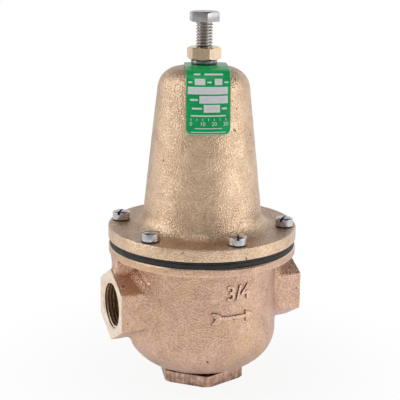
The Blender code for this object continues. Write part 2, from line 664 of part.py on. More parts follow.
def foot_fillet():
    """The arc between the flange's top and the cone, from the flange up."""
    lean = cage_lean()
    reach = CAGE_FOOT_RADIUS + CAGE_FOOT_ROUND * (math.hypot(1, lean) - lean)
    end = 180 + math.degrees(math.atan(lean))
    return arc((reach, CAGE_FLANGE_TOP + CAGE_FOOT_ROUND), CAGE_FOOT_ROUND, 270, end, 5)


def shoulder_arc(offset, steps):
    """The shoulder from the cone up to the crown, moved outwards by an offset."""
    start = math.degrees(math.atan(cage_lean()))
    end = 90 - math.degrees(CAGE_CROWN_SLOPE)
    return arc(shoulder_centre(), CAGE_SHOULDER_ROUND + offset, start, end, steps)


def cage_outline():
    outside = [
        (FLANGE_RADIUS - EDGE_STEP / 2, CAGE_BOTTOM), (FLANGE_RADIUS, CAGE_BOTTOM + EDGE_STEP),
        (FLANGE_RADIUS, CAGE_FLANGE_TOP - EDGE_STEP), (FLANGE_RADIUS - EDGE_STEP, CAGE_FLANGE_TOP),
    ]
    outside += foot_fillet() + shoulder_arc(0.0, 6) + [(CAGE_CROWN_RADIUS, CROWN)]
    boss_bottom = CROWN - CAGE_THREAD_LENGTH
    boss_radius = SCREW_HOLE + CAGE_BOSS_WALL
    ceiling = shoulder_arc(-CAGE_WALL, 4)
    inside = [(SCREW_HOLE, CROWN), (SCREW_HOLE, boss_bottom), (boss_radius, boss_bottom)]
    inside += [(boss_radius, ceiling[-1][1])] + ceiling[::-1]
    inside += [(CAGE_FOOT_RADIUS - CAGE_WALL, CAGE_FLANGE_TOP), (CHAMBER_RADIUS, CAGE_BOTTOM + CAGE_WALL)]
    inside += [(CHAMBER_RADIUS, CAGE_BOTTOM)]
    return outside + inside


def build_cage():
    cage = add_object("spring_cage", turned(cage_outline()), CAGE_BRONZE)
    cut_bolt_holes(cage, TAPPED_HOLE, DIAPHRAGM_RIM, CAGE_FLANGE_TOP + PARTITION)


def build_cage_screws():
    top = CAGE_SCREW_HEAD_HEIGHT
    shank = CAGE_FLANGE_TOP + GAP - FLANGE_UNDERSIDE + CAGE_SCREW_STICKOUT
    outline = [
        (0, -shank), (CAGE_SCREW_RADIUS - GAP, -shank), (CAGE_SCREW_RADIUS, GAP - shank),
        (CAGE_SCREW_RADIUS, 0), (CAGE_SCREW_HEAD, 0), (CAGE_SCREW_HEAD, top - GAP),
        (CAGE_SCREW_HEAD - GAP, top), (CAGE_SCREW_HEAD / 2, top + CAGE_SCREW_CROWN),
        (0, top + CAGE_SCREW_CROWN),
    ]
    reach, half = 2 * CAGE_SCREW_HEAD, SLOT_WIDTH / 2
    slot_floor = top + CAGE_SCREW_CROWN - SLOT_DEPTH
    slot_outline = [(-half, -reach), (half, -reach), (half, reach), (-half, reach)]
    for number in range(SCREW_COUNT):
        angle = on_bolt_circle(number)
        name = f"cage_screw_{number + 1}"
        screw = add_object(name, turned(outline, CAGE_SCREW_ROUND), STAINLESS, CAGE_FLANGE_TOP + GAP)
        slot = add_cutter(f"{name}_slot", prism(slot_outline, slot_floor, 2 * top), CAGE_FLANGE_TOP + GAP)
        for piece in (screw, slot):
            piece.location.x = BOLT_CIRCLE * math.cos(angle)
            piece.location.y = BOLT_CIRCLE * math.sin(angle)
        slot.rotation_euler.z = math.radians(SLOT_TURNS[number])
        shape_with(screw, "DIFFERENCE", slot)


# --- the spring and its button -----------------------------------------------------------------


def coil_height(turn, length):
    """The height of the wire's middle after a number of turns, with closed end coils."""
    active_turns = SPRING_TURNS - 2 * SPRING_END_TURNS
    rise = length - SPRING_WIRE - 2 * SPRING_END_TURNS * SPRING_END_PITCH
    start = SPRING_WIRE / 2
    if turn < SPRING_END_TURNS:
        return start + turn * SPRING_END_PITCH
    start += SPRING_END_TURNS * SPRING_END_PITCH
    if turn < SPRING_END_TURNS + active_turns:
        return start + (turn - SPRING_END_TURNS) * rise / active_turns
    return start + rise + (turn - SPRING_END_TURNS - active_turns) * SPRING_END_PITCH


def build_spring():
    length = BUTTON_BOTTOM - GAP - SPRING_SEAT - GAP
    mean = SPRING_OUTER - SPRING_WIRE / 2
    steps = round(SPRING_TURNS * COIL_ROUND)
    mesh = bmesh.new()
    rings = []
    for step in range(steps + 1):
        turn = SPRING_TURNS * step / steps
        angle = 2 * math.pi * turn
        outward = Vector((math.cos(angle), math.sin(angle), 0))
        centre = mean * outward + Vector((0, 0, coil_height(turn, length)))
        section = []
        for side in range(WIRE_ROUND):
            round_wire = 2 * math.pi * side / WIRE_ROUND
            offset = outward * math.cos(round_wire) + Vector((0, 0, math.sin(round_wire)))
            section.append(mesh.verts.new(centre + offset * SPRING_WIRE / 2))
        rings.append(section)
    for here, there in zip(rings, rings[1:]):
        for side in range(WIRE_ROUND):
            beside = (side + 1) % WIRE_ROUND
            mesh.faces.new((here[side], here[beside], there[beside], there[side]))
    mesh.faces.new(rings[0])
    mesh.faces.new(rings[-1])
    add_object("range_spring", mesh, SPRING_STEEL, SPRING_SEAT + GAP)


def build_button(carrier):
    rim = BUTTON_FLOOR + BUTTON_SOCKET_DEPTH
    socket = SCREW_HOLE + GAP
    boss = socket + BUTTON_SOCKET_WALL
    outline = [
        (0, -BUTTON_HUB), (HUB_RADIUS - PLATE_ROLL, -BUTTON_HUB), (HUB_RADIUS, 0), (SPRING_OUTER, 0),
        (SPRING_OUTER, BUTTON_PLATE), (boss, BUTTON_PLATE + PLATE_ROLL), (boss, rim), (socket, rim),
        (socket, BUTTON_FLOOR), (0, BUTTON_FLOOR),
    ]
    add_object("spring_button", turned(outline), STEEL, BUTTON_BOTTOM, parent=carrier)


# --- adjusting screw, lock nut, washer and tag ---------------------------------------------------


def chamfered_hexagon(name, flats, height, both_ends):
    """The outline that a hexagon is turned down to, as a cutter's bmesh."""
    corner = flats / 2 / math.cos(math.pi / 6)
    chamfer = (corner - flats / 2 + GAP) * math.tan(HEX_CHAMFER)
    flat = flats / 2 - GAP
    lower = [(flat, 0), (corner, chamfer)] if both_ends else [(corner, 0)]
    upper = [(corner, height - chamfer), (flat, height), (0, height)]
    return add_cutter(name, turned([(0, 0)] + lower + upper))


def build_adjusting_screw(carrier):
    head = add_object(
        "adjusting_screw", hexagon(HEAD_FLATS, HEAD_HEIGHT), STAINLESS, HEAD_BOTTOM, HEAD_TURN, carrier
    )
    envelope = chamfered_hexagon("head_chamfer", HEAD_FLATS, HEAD_HEIGHT, False)
    envelope.location.z = HEAD_BOTTOM
    shape_with(head, "INTERSECT", envelope)
    rod_length = SCREW_LENGTH + 3 * SCREW_PITCH
    rod = threaded_rod(SCREW_RADIUS, SCREW_THREAD_DEPTH, SCREW_PITCH, rod_length, THREAD_ROUND)
    thread = add_cutter("screw_thread", rod, SCREW_END - 2 * SCREW_PITCH)
    overlap = HEAD_HEIGHT / 2
    tip = SCREW_RADIUS - SCREW_TIP
    limits = [
        (0, 0), (tip, 0), (SCREW_RADIUS + GAP, SCREW_TIP + GAP),
        (SCREW_RADIUS + GAP, SCREW_LENGTH + overlap), (0, SCREW_LENGTH + overlap),
    ]
    shape_with(thread, "INTERSECT", add_cutter("screw_limits", turned(limits, SMALL_ROUND), SCREW_END))
    shape_with(head, "UNION", thread)


def build_lock_nut(carrier):
    nut = add_object("lock_nut", hexagon(NUT_FLATS, NUT_HEIGHT), BRASS, NUT_BOTTOM, NUT_TURN, carrier)
    envelope = chamfered_hexagon("nut_chamfer", NUT_FLATS, NUT_HEIGHT, True)
    envelope.location.z = NUT_BOTTOM
    shape_with(nut, "INTERSECT", envelope)
    shape_with(nut, "DIFFERENCE", add_cutter("nut_bore", bore_cutter(SCREW_HOLE), NUT_BOTTOM - GAP))


def build_lock_washer(carrier):
    washer = add_object(
        "lock_washer", ring(SCREW_HOLE, WASHER_RADIUS, WASHER_THICKNESS, SMALL_ROUND), STAINLESS,
        WASHER_HEIGHT, parent=carrier,
    )
    half, lean = WASHER_SPLIT / 2, WASHER_THICKNESS
    outline = [(-half - lean, -lean), (half - lean, -lean), (half + lean, lean), (lean - half, lean)]
    across = Matrix.Rotation(math.pi / 2, 4, "X")
    place = Matrix.Rotation(WASHER_SPLIT_TURN, 4, "Z") @ Matrix.Translation((0, 0, WASHER_THICKNESS / 2))
    slot = moved_mesh(prism(outline, 0, 2 * WASHER_RADIUS), place @ across)
    shape_with(washer, "DIFFERENCE", add_cutter("washer_split", slot, WASHER_HEIGHT))


def tag_path(offset):
    """The tag's line from behind the screw, over the crown and shoulder and down the cone."""
    path = [(-TAG_BACK, CROWN + offset), (-TAG_BACK + TAG_CORNER / 2, CROWN + offset)]
    path += [(-TAG_BACK + TAG_CORNER, CROWN + offset), (CAGE_CROWN_RADIUS, CROWN + offset)]
    path += shoulder_arc(offset, 7)[::-1]
    top_radius, top_height = path[-1]
    length = TAG_DROP - (CROWN + offset - top_height)
    for drop in (0.3 * length, 0.6 * length, length - TAG_CORNER, length - TAG_CORNER / 2, length):
        path.append((top_radius + drop * cage_lean(), top_height - drop))
    return path


def tag_points(mesh, offset, columns):
    """The rows of points on one face of the tag, narrower at its rounded corners."""
    path = tag_path(offset)
    shoulder_top = path[4][1]
    shoulder_low = path[11][1]
    rows = []
    for place, (forward, height) in enumerate(path):
        from_end = min(place, len(path) - 1 - place) * TAG_CORNER / 2
        inset = max(TAG_CORNER - from_end, 0)
        down = min(max((shoulder_top - height) / (shoulder_top - shoulder_low), 0), 1)
        wrap = TAG_WRAP * down
        half = TAG_WIDTH / 2 - TAG_CORNER + math.sqrt(TAG_CORNER**2 - inset**2) - TAG_TAPER * (1 - down)
        row = []
        for column in range(columns + 1):
            side = half * (2 * column / columns - 1) + TAG_SHIFT
            sag = forward - math.sqrt(max(forward**2 - side**2, 0)) if forward > half + TAG_SHIFT else 0
            row.append(mesh.verts.new((side, -(forward - wrap * sag), height)))
        rows.append(row)
    return rows


def edge_of(rows):
    """The points round the edge of a sheet that is given as rows."""
    right = [row[-1] for row in rows[1:-1]]
    left = [row[0] for row in rows[-2:0:-1]]
    return rows[0] + right + rows[-1][::-1] + left


def build_name_tag():
    columns = TAG_COLUMNS
    mesh = bmesh.new()
    inner = tag_points(mesh, GAP, columns)
    outer = tag_points(mesh, GAP + TAG_THICKNESS, columns)
    for rows in (inner, outer):
        for here, there in zip(rows, rows[1:]):
            for column in range(columns):
                mesh.faces.new((here[column], here[column + 1], there[column + 1], there[column]))
    inner_edge = edge_of(inner)
    outer_edge = edge_of(outer)
    for place in range(len(inner_edge)):
        following = (place + 1) % len(inner_edge)
        mesh.faces.new((inner_edge[place], inner_edge[following], outer_edge[following], outer_edge[place]))
    tag = add_object("name_tag", mesh, TAG_GREEN, turn=TAG_TURN)
    hole = ring(0, SCREW_HOLE + GAP, 4 * WASHER_THICKNESS, SMALL_ROUND)
    shape_with(tag, "DIFFERENCE", add_cutter("tag_hole", hole, CROWN - WASHER_THICKNESS))


# --- everything --------------------------------------------------------------------------------


def add_carrier(name):
    """An empty on the valve's axis that a moving group hangs from."""
    carrier = bpy.data.objects.new(name, None)
    carrier.empty_display_size = BOWL_RADIUS
    bpy.context.scene.collection.objects.link(carrier)
    return carrier


for old in list(bpy.data.objects):
    bpy.data.objects.remove(old)

CUTTER = material("cutter", (0.8, 0.2, 0.2), 0.8, 0.0)
BODY_BRONZE = material("body_bronze", (0.62, 0.38, 0.27), 0.5, 0.7)
CAGE_BRONZE = material("cage_bronze", (0.66, 0.46, 0.27), 0.5, 0.7)
PLUG_BRONZE = material("plug_bronze", (0.42, 0.24, 0.16), 0.4, 0.8)
BRASS = material("brass", (0.72, 0.56, 0.3), 0.3, 1.0)
COPPER = material("copper", (0.78, 0.5, 0.22), 0.35, 1.0)
STAINLESS = material("stainless", (0.62, 0.62, 0.62), 0.3, 1.0)
STEEL = material("plated_steel", (0.55, 0.55, 0.5), 0.4, 1.0)
SPRING_STEEL = material("spring_steel", (0.3, 0.3, 0.32), 0.4, 0.9)
RUBBER = material("rubber", (0.03, 0.03, 0.033), 0.7, 0.0)
FIBRE = material("fibre", (0.45, 0.12, 0.08), 0.8, 0.0)
TAG_GREEN = material("tag_green", (0.01, 0.3, 0.12), 0.4, 0.2)

build_body()
build_bottom_plug()
build_seat()
build_diaphragm()
build_cage()
build_cage_screws()
build_spring()
build_name_tag()

stem_axis = add_carrier("stem_axis")
build_disc_holder(stem_axis)
build_stem(stem_axis)
build_plates(stem_axis)

button_axis = add_carrier("button_axis")
build_button(button_axis)

screw_axis = add_carrier("screw_axis")
screw_axis.parent = button_axis
build_adjusting_screw(screw_axis)

washer_axis = add_carrier("washer_axis")
build_lock_washer(washer_axis)

nut_axis = add_carrier("nut_axis")
nut_axis.parent = washer_axis
build_lock_nut(nut_axis)
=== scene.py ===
# %% [markdown]
# # Dressing a bronze pressure reducing valve
#
# A pressure reducing valve is two castings bolted together. The lower one is the body, which the
# pipes screw into. The upper one is the spring cage, a bell that holds a strong spring. A rubber
# diaphragm is clamped between them, and a screw on top sets how hard the spring pushes on it.
#
# The frame loaded here holds every piece as a plain solid at its real size. This lesson makes the
# surfaces that a person sees: rough cast skin, machined faces and threads, rubber, a printed tag.
# Each piece is measured from the frame, so it lands exactly where the solid is.

# %% Load the frame
import math

import bmesh
import bpy
from mathutils import Matrix, Vector, noise


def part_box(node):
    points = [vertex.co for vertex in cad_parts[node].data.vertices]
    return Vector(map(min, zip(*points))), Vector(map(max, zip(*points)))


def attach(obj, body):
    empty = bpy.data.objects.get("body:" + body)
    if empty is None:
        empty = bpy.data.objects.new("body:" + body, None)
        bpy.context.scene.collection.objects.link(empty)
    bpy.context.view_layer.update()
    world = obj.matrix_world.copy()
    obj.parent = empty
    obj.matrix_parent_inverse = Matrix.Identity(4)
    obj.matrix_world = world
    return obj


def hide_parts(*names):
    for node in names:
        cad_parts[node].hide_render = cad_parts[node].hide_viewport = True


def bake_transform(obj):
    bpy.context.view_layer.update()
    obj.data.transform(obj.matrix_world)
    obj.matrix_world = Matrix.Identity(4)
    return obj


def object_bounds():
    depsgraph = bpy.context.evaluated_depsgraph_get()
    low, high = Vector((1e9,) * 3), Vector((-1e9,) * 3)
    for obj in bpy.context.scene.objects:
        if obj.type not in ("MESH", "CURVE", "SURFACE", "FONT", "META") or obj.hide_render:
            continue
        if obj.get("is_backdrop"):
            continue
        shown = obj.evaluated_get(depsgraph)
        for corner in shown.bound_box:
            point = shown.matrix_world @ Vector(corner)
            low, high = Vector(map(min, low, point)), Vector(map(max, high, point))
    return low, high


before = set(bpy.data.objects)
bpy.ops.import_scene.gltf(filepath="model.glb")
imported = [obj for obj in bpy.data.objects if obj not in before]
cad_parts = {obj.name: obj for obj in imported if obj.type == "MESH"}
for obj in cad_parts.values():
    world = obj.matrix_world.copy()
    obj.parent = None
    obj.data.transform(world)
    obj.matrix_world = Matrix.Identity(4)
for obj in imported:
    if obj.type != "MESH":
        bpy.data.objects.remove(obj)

cad_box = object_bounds()

# %% [markdown]
# ## Reading sizes from the frame
#
# A solid's box says how wide and how tall it is. Most places on this valve follow from a few
# boxes, because everything is stacked on one upright axis. Only the sizes inside a piece, such as
# the round of a corner, are written as numbers, in millimetres.

# %% Heights and radii of the main pieces
MM = 0.001
TURN = 2 * math.pi

body_low, body_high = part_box("body")
cage_low, cage_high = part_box("spring_cage")

FLANGE_RADIUS = cage_high.y
PORT_REACH = body_high.x
BODY_BOTTOM, BODY_TOP = body_low.z, body_high.z
CAGE_BOTTOM, CROWN = cage_low.z, cage_high.z
print(f"flange {2000 * FLANGE_RADIUS:.1f} mm across, ports {2000 * PORT_REACH:.1f} mm apart")
print(f"body up to {1000 * BODY_TOP:.1f} mm, spring cage up to {1000 * CROWN:.1f} mm")

# %% [markdown]
# ## A few tools for shaping metal
#
# Nearly every surface of a valve is made by turning, by milling or by a drill, so the helpers do
# the same. `turned` spins an outline round the upright axis, as a lathe or a core box would.
# `prism` raises a flat outline. Booleans then cut one shape with another, and the cut faces take
# the cutter's material, just as a milled face on a casting is bright while its skin stays dull.

# %% Outlines


def arc(centre, radius, start, end, steps):
    """Points along an arc or, with two radii, an ellipse, from one angle to the other in degrees."""
    wide, tall = radius if isinstance(radius, tuple) else (radius, radius)
    angles = [math.radians(start + (end - start) * step / steps) for step in range(steps + 1)]
    return [(centre[0] + wide * math.cos(a), centre[1] + tall * math.sin(a)) for a in angles]


def between(first, last, steps):
    """Points on a straight line, without its two ends."""
    shares = [step / steps for step in range(1, steps)]
    return [tuple(a + (b - a) * share for a, b in zip(first, last)) for share in shares]


print("outlines can be drawn with", arc.__name__, "and", between.__name__)

# %% Turned and raised shapes


def turned(outline, segments):
    """A closed solid spun about Z from an outline of (radius, height) points."""
    mesh = bmesh.new()
    columns = []
    for segment in range(segments):
        angle = TURN * segment / segments
        along = (math.cos(angle), math.sin(angle))
        columns.append([mesh.verts.new((r * along[0], r * along[1], z)) for r, z in outline])
    closed = min(radius for radius, _ in outline) > 0
    rows = len(outline) if closed else len(outline) - 1
    for here, there in zip(columns, columns[1:] + columns[:1]):
        for low in range(rows):
            high = (low + 1) % len(outline)
            mesh.faces.new((here[low], there[low], there[high], here[high]))
    bmesh.ops.remove_doubles(mesh, verts=mesh.verts, dist=1e-7)
    bmesh.ops.recalc_face_normals(mesh, faces=mesh.faces)
    return mesh


def prism(outline, low, high):
    """A solid raised along Z from an outline of (x, y) points."""
    mesh = bmesh.new()
    face = mesh.faces.new([mesh.verts.new((x, y, low)) for x, y in outline])
    raised = bmesh.ops.extrude_face_region(mesh, geom=[face])["geom"]
    moved = [piece for piece in raised if isinstance(piece, bmesh.types.BMVert)]
    bmesh.ops.translate(mesh, verts=moved, vec=(0, 0, high - low))
    bmesh.ops.recalc_face_normals(mesh, faces=mesh.faces)
    return mesh


def placed(mesh, matrix):
    """The same mesh, moved."""
    bmesh.ops.transform(mesh, matrix=matrix, verts=mesh.verts)
    return mesh


print("lathe and mill are ready")

# %% Objects and smooth shading


def make_object(name, mesh, finish, smooth_angle=30):
    """Turns a bmesh into an object whose gentle edges shade smoothly."""
    data = bpy.data.meshes.new(name)
    mesh.to_mesh(data)
    mesh.free()
    data.materials.append(finish)
    made = bpy.data.objects.new(name, data)
    bpy.context.scene.collection.objects.link(made)
    shade(made, smooth_angle)
    return made


def shade(piece, smooth_angle=30):
    """Smooth shading, with edges kept sharp where two faces meet at a steeper angle."""
    piece.data.shade_smooth()
    piece.data.set_sharp_from_angle(angle=math.radians(smooth_angle))


def apply_modifiers(piece):
    """Makes what the modifiers show the piece's own mesh."""
    graph = bpy.context.evaluated_depsgraph_get()
    finished = bpy.data.meshes.new_from_object(piece.evaluated_get(graph))
    piece.modifiers.clear()
    piece.data = finished


print("meshes can become objects")

# %% Booleans


def carve(piece, *cuts, solver="EXACT"):
    """Applies (operation, bmesh, finish) steps to a piece; new faces take the tool's finish."""
    for operation, mesh, finish in cuts:
        tool = make_object("tool", mesh, finish)
        modifier = piece.modifiers.new("carve", "BOOLEAN")
        modifier.operation = operation
        modifier.solver = solver
        modifier.material_mode = "TRANSFER"
        modifier.object = tool
        apply_modifiers(piece)
        bpy.data.objects.remove(tool)


def joined(*meshes):
    """Several separate closed shapes as one mesh, so that one Boolean handles them all."""
    whole = bmesh.new()
    for mesh in meshes:
        part = bpy.data.meshes.new("part")
        mesh.to_mesh(part)
        mesh.free()
        whole.from_mesh(part)
        bpy.data.meshes.remove(part)
    return whole


print("shapes can be cut and joined")

# %% Handing a piece to the frame


def seat(piece, body, slot, *nodes):
    """Attaches a finished piece to the body it rides on and hides the solids it stands for; `slot` is not
    used.
    """
    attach(piece, body)
    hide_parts(*nodes)
    print(f"{piece.name}: {len(piece.data.vertices)} points, rides on {body}")


print("pieces can be seated on their bodies")

# %% [markdown]
# ## Effects that several finishes share
#
# A shader node group works like a function: it is built once and placed in each material with its
# own values. The groups here only hand out masks, tones and heights. Each material then decides
# what a mask does to its colour, its gloss and its bumps. `add_node` keeps the wiring short: a
# plain value is typed into a socket, and an output of another node is linked to it.

# %% Node helpers


def add_node(tree, kind, inputs=None, **settings):
    """Adds a shader node; inputs maps a socket's name or number to a value or another output."""
    made = tree.nodes.new(kind)
    for setting, value in settings.items():
        setattr(made, setting, value)
    for socket, value in (inputs or {}).items():
        if isinstance(value, bpy.types.NodeSocket):
            tree.links.new(value, made.inputs[socket])
        else:
            made.inputs[socket].default_value = value
    return made


def maths(tree, operation, first, second=0.0, clamp=False):
    """The result of one Math node."""
    sockets = {0: first, 1: second}
    return add_node(tree, "ShaderNodeMath", sockets, operation=operation, use_clamp=clamp).outputs[0]


def ramp(tree, value, low, high, out_low=0.0, out_high=1.0):
    """A value stretched from one range to another and kept inside it."""
    sockets = {"Value": value, "From Min": low, "From Max": high, "To Min": out_low, "To Max": out_high}
    return add_node(tree, "ShaderNodeMapRange", sockets).outputs["Result"]


def weighted(tree, first, weight, second, other_weight):
    """The sum of two values, each times its own weight."""
    first_part = maths(tree, "MULTIPLY", first, weight)
    other_part = maths(tree, "MULTIPLY", second, other_weight)
    return maths(tree, "ADD", first_part, other_part)


def blend_colours(tree, share, first, second):
    """Two colours mixed by a mask."""
    mixer = add_node(tree, "ShaderNodeMix", {0: share}, data_type="RGBA")
    for socket, colour in ((mixer.inputs[6], first), (mixer.inputs[7], second)):
        if isinstance(colour, bpy.types.NodeSocket):
            tree.links.new(colour, socket)
        else:
            socket.default_value = (*colour, 1)
    return mixer.outputs[2]


def soft_noise(tree, vector, scale, detail, roughness=0.5, distortion=0.0):
    """Noise in three dimensions, from 0 to 1."""
    sockets = {"Vector": vector, "Scale": scale, "Detail": detail}
    sockets |= {"Roughness": roughness, "Distortion": distortion}
    return add_node(tree, "ShaderNodeTexNoise", sockets).outputs["Fac"]


print("nodes can be wired")

# %% Empty groups


def new_group(name, inputs, outputs):
    """An empty node group with named sockets, and its two ends; an input of None is a vector."""
    group = bpy.data.node_groups.new(name, "ShaderNodeTree")
    for label, value in inputs.items():
        kind = "NodeSocketVector" if value is None else "NodeSocketFloat"
        socket = group.interface.new_socket(label, in_out="INPUT", socket_type=kind)
        if value is not None:
            socket.default_value = value
    for label in outputs:
        group.interface.new_socket(label, in_out="OUTPUT", socket_type="NodeSocketFloat")
    start = group.nodes.new("NodeGroupInput").outputs
    end = group.nodes.new("NodeGroupOutput").inputs
    return group, start, end


print("groups can be started")

# %% [markdown]
# ### Cast skin
#
# Sand leaves three sizes of unevenness in bronze. The grains show as dots a little under a
# millimetre across and make the surface sparkle. Patches of several millimetres are a little
# lighter or darker, where the mould was packed more or less tightly. Here and there a grain has
# come away and left a pit. Noise gives the patches, and Voronoi cells give separate rounded grains.

# %% Group: cast skin


def build_cast_skin():
    """Sand grain, patches and pits, with the grain size in metres."""
    inputs = {"Vector": None, "Grain Size": 0.6 * MM, "Patch Size": 6 * MM, "Pitting": 0.5}
    group, start, end = new_group("cast skin", inputs, ("Height", "Tone", "Patch", "Pits"))
    fine = maths(group, "DIVIDE", 1.0, start["Grain Size"])
    broad = maths(group, "DIVIDE", 1.0, start["Patch Size"])
    coarse = maths(group, "MULTIPLY", fine, 0.27)
    sand = soft_noise(group, start["Vector"], fine, 1.2)
    patch = soft_noise(group, start["Vector"], broad, 4.0, 0.6)
    holes = soft_noise(group, start["Vector"], coarse, 1.0)
    cells = add_node(group, "ShaderNodeTexVoronoi", {"Vector": start["Vector"], "Scale": fine}).outputs
    bumps = ramp(group, cells["Distance"], 0.0, 0.8, 1.0, 0.0)
    height = weighted(group, sand, 0.9, bumps, 0.35)
    limit = maths(group, "SUBTRACT", 0.84, maths(group, "MULTIPLY", start["Pitting"], 0.18))
    pits = ramp(group, holes, limit, maths(group, "ADD", limit, 0.05))
    group.links.new(maths(group, "SUBTRACT", height, pits), end["Height"])
    chance = add_node(group, "ShaderNodeSeparateColor", {0: cells["Color"]}).outputs[0]
    group.links.new(weighted(group, ramp(group, sand, 0.35, 0.65), 0.6, chance, 0.4), end["Tone"])
    group.links.new(ramp(group, patch, 0.33, 0.67), end["Patch"])
    group.links.new(pits, end["Pits"])
    return group


CAST_SKIN = build_cast_skin()
print(CAST_SKIN.name, "has", len(CAST_SKIN.nodes), "nodes")

# %% [markdown]
# ### Worn edges, painted highlights and painted shade
#
# Handling rubs edges bright and leaves the corners dull. Geometry's Pointiness is above one half
# on an outer edge and below it in a corner, so it makes both masks, broken up with a little noise.
# Both also paint light: highlights along edges and shade in corners. Ambient occlusion adds a third
# mask, dark wherever two pieces nearly touch, such as under the head of a screw: painted shade.

# %% Group: worn edges and painted shade


def build_edge_wear_and_shade():
    """Masks for bright edges and dull corners, both partly painted light, and painted shade in gaps."""
    inputs = {"Vector": None, "Spread": 0.04, "Break Size": 2 * MM, "Reach": 2 * MM}
    group, start, end = new_group("worn edges", inputs, ("Edge_Wear_And_Glint", "Corner_Dulling_And_Shade", "Gap_Shade"))
    bend = add_node(group, "ShaderNodeNewGeometry").outputs["Pointiness"]
    scale = maths(group, "DIVIDE", 1.0, start["Break Size"])
    broken = soft_noise(group, start["Vector"], scale, 3.0)
    shift = maths(group, "MULTIPLY", maths(group, "SUBTRACT", broken, 0.5), start["Spread"])
    bent = maths(group, "ADD", bend, shift)
    little = maths(group, "MULTIPLY", start["Spread"], 0.3)
    edge = ramp(group, bent, maths(group, "ADD", 0.5, little), maths(group, "ADD", 0.5, start["Spread"]))
    inner = maths(group, "SUBTRACT", 0.5, start["Spread"])
    outer = maths(group, "SUBTRACT", 0.5, maths(group, "MULTIPLY", start["Spread"], 0.5))
    group.links.new(edge, end["Edge_Wear_And_Glint"])
    group.links.new(ramp(group, bent, inner, outer, 1.0, 0.0), end["Corner_Dulling_And_Shade"])
    # Occlusion from nearby surfaces, used as painted shade in gaps and under screw heads.
    occlusion_shade = add_node(group, "ShaderNodeAmbientOcclusion", {"Distance": start["Reach"]}, samples=6)
    group.links.new(ramp(group, occlusion_shade.outputs["AO"], 0.35, 0.85, 1.0, 0.0), end["Gap_Shade"])
    return group


EDGE_WEAR_AND_SHADE = build_edge_wear_and_shade()
print(EDGE_WEAR_AND_SHADE.name, "has", len(EDGE_WEAR_AND_SHADE.nodes), "nodes")

# %% [markdown]
# ### Tool marks
#
# A cutting tool leaves fine parallel lines. On a turned face they run round the axis, so they
# change with the radius; on a turned rod or a milled flat they change with the height. The group
# takes that one distance as `Along`, and noise in one dimension makes lines of uneven strength.

# %% Group: tool marks


def build_tool_marks():
    """Lines of uneven strength across the direction that `Along` measures."""
    inputs = {"Along": 0.0, "Spacing": 0.3 * MM}
    group, start, end = new_group("tool marks", inputs, ("Height", "Streak"))
    place = maths(group, "DIVIDE", start["Along"], start["Spacing"])
    both = []
    for scale, detail in ((1.0, 2.0), (0.17, 1.0)):
        sockets = {"W": place, "Scale": scale, "Detail": detail}
        both.append(add_node(group, "ShaderNodeTexNoise", sockets, noise_dimensions="1D").outputs["Fac"])
    group.links.new(both[0], end["Height"])
    group.links.new(ramp(group, maths(group, "ADD", *both), 0.7, 1.3), end["Streak"])
    return group


TOOL_MARKS = build_tool_marks()
print(TOOL_MARKS.name, "has", len(TOOL_MARKS.nodes), "nodes")

# %% [markdown]
# ### Stains
#
# Bronze tarnishes unevenly: soft clouds of brown and gold, tens of millimetres wide, with ragged
# edges where water or oil dried. A distorted noise makes the clouds, and a finer one a thin film.

# %% Group: stains


def build_stains():
    """Clouds with ragged edges, and a thin uneven film."""
    inputs = {"Vector": None, "Size": 30 * MM, "Cover": 0.5}
    group, start, end = new_group("stains", inputs, ("Cloud", "Film"))
    scale = maths(group, "DIVIDE", 1.0, start["Size"])
    finer = maths(group, "MULTIPLY", scale, 2.7)
    cloud = soft_noise(group, start["Vector"], scale, 5.0, 0.62, 1.2)
    film = soft_noise(group, start["Vector"], finer, 3.0, distortion=0.6)
    limit = ramp(group, start["Cover"], 0.0, 1.0, 0.72, 0.32)
    group.links.new(ramp(group, cloud, limit, maths(group, "ADD", limit, 0.14)), end["Cloud"])
    group.links.new(ramp(group, film, 0.35, 0.65), end["Film"])
    return group


STAINS = build_stains()
print(STAINS.name, "has", len(STAINS.nodes), "nodes")

# %% [markdown]
# ## The finishes
#
# Each metal is a Principled shader. Cast bronze is not a mirror: oxide and the sand's grain make
# it part metal and part matt, so its metallic value stays below 1 and its roughness is high. The
# two castings differ. The cage was blasted and is golden, and the body is pinker with brown stains.

# %% Helpers for every finish


def new_material(name):
    """A material with its Principled shader and the piece's own coordinates."""
    made = bpy.data.materials.new(name)
    made.use_nodes = True
    tree = made.node_tree
    shader = tree.nodes["Principled BSDF"]
    place = add_node(tree, "ShaderNodeTexCoord").outputs["Object"]
    return made, tree, shader, place


def use_group(tree, group, **inputs):
    """The outputs of a group placed in a material; underscores stand for spaces."""
    sockets = {label.replace("_", " "): value for label, value in inputs.items()}
    return add_node(tree, "ShaderNodeGroup", sockets, node_tree=group).outputs


def layered(tree, colour, *layers):
    """A colour with others laid over it, each given as (mask, strength, colour)."""
    for mask, strength, over in layers:
        colour = blend_colours(tree, maths(tree, "MULTIPLY", mask, strength), colour, over)
    return colour


def add_bumps(tree, shader, height, depth, strength=1.0):
    """Sends a height to the shader as bumps of a depth in metres."""
    bump = add_node(tree, "ShaderNodeBump", {"Height": height, "Strength": strength, "Distance": depth})
    tree.links.new(bump.outputs["Normal"], shader.inputs["Normal"])


print("finishes can be mixed")

# %% Cast bronze


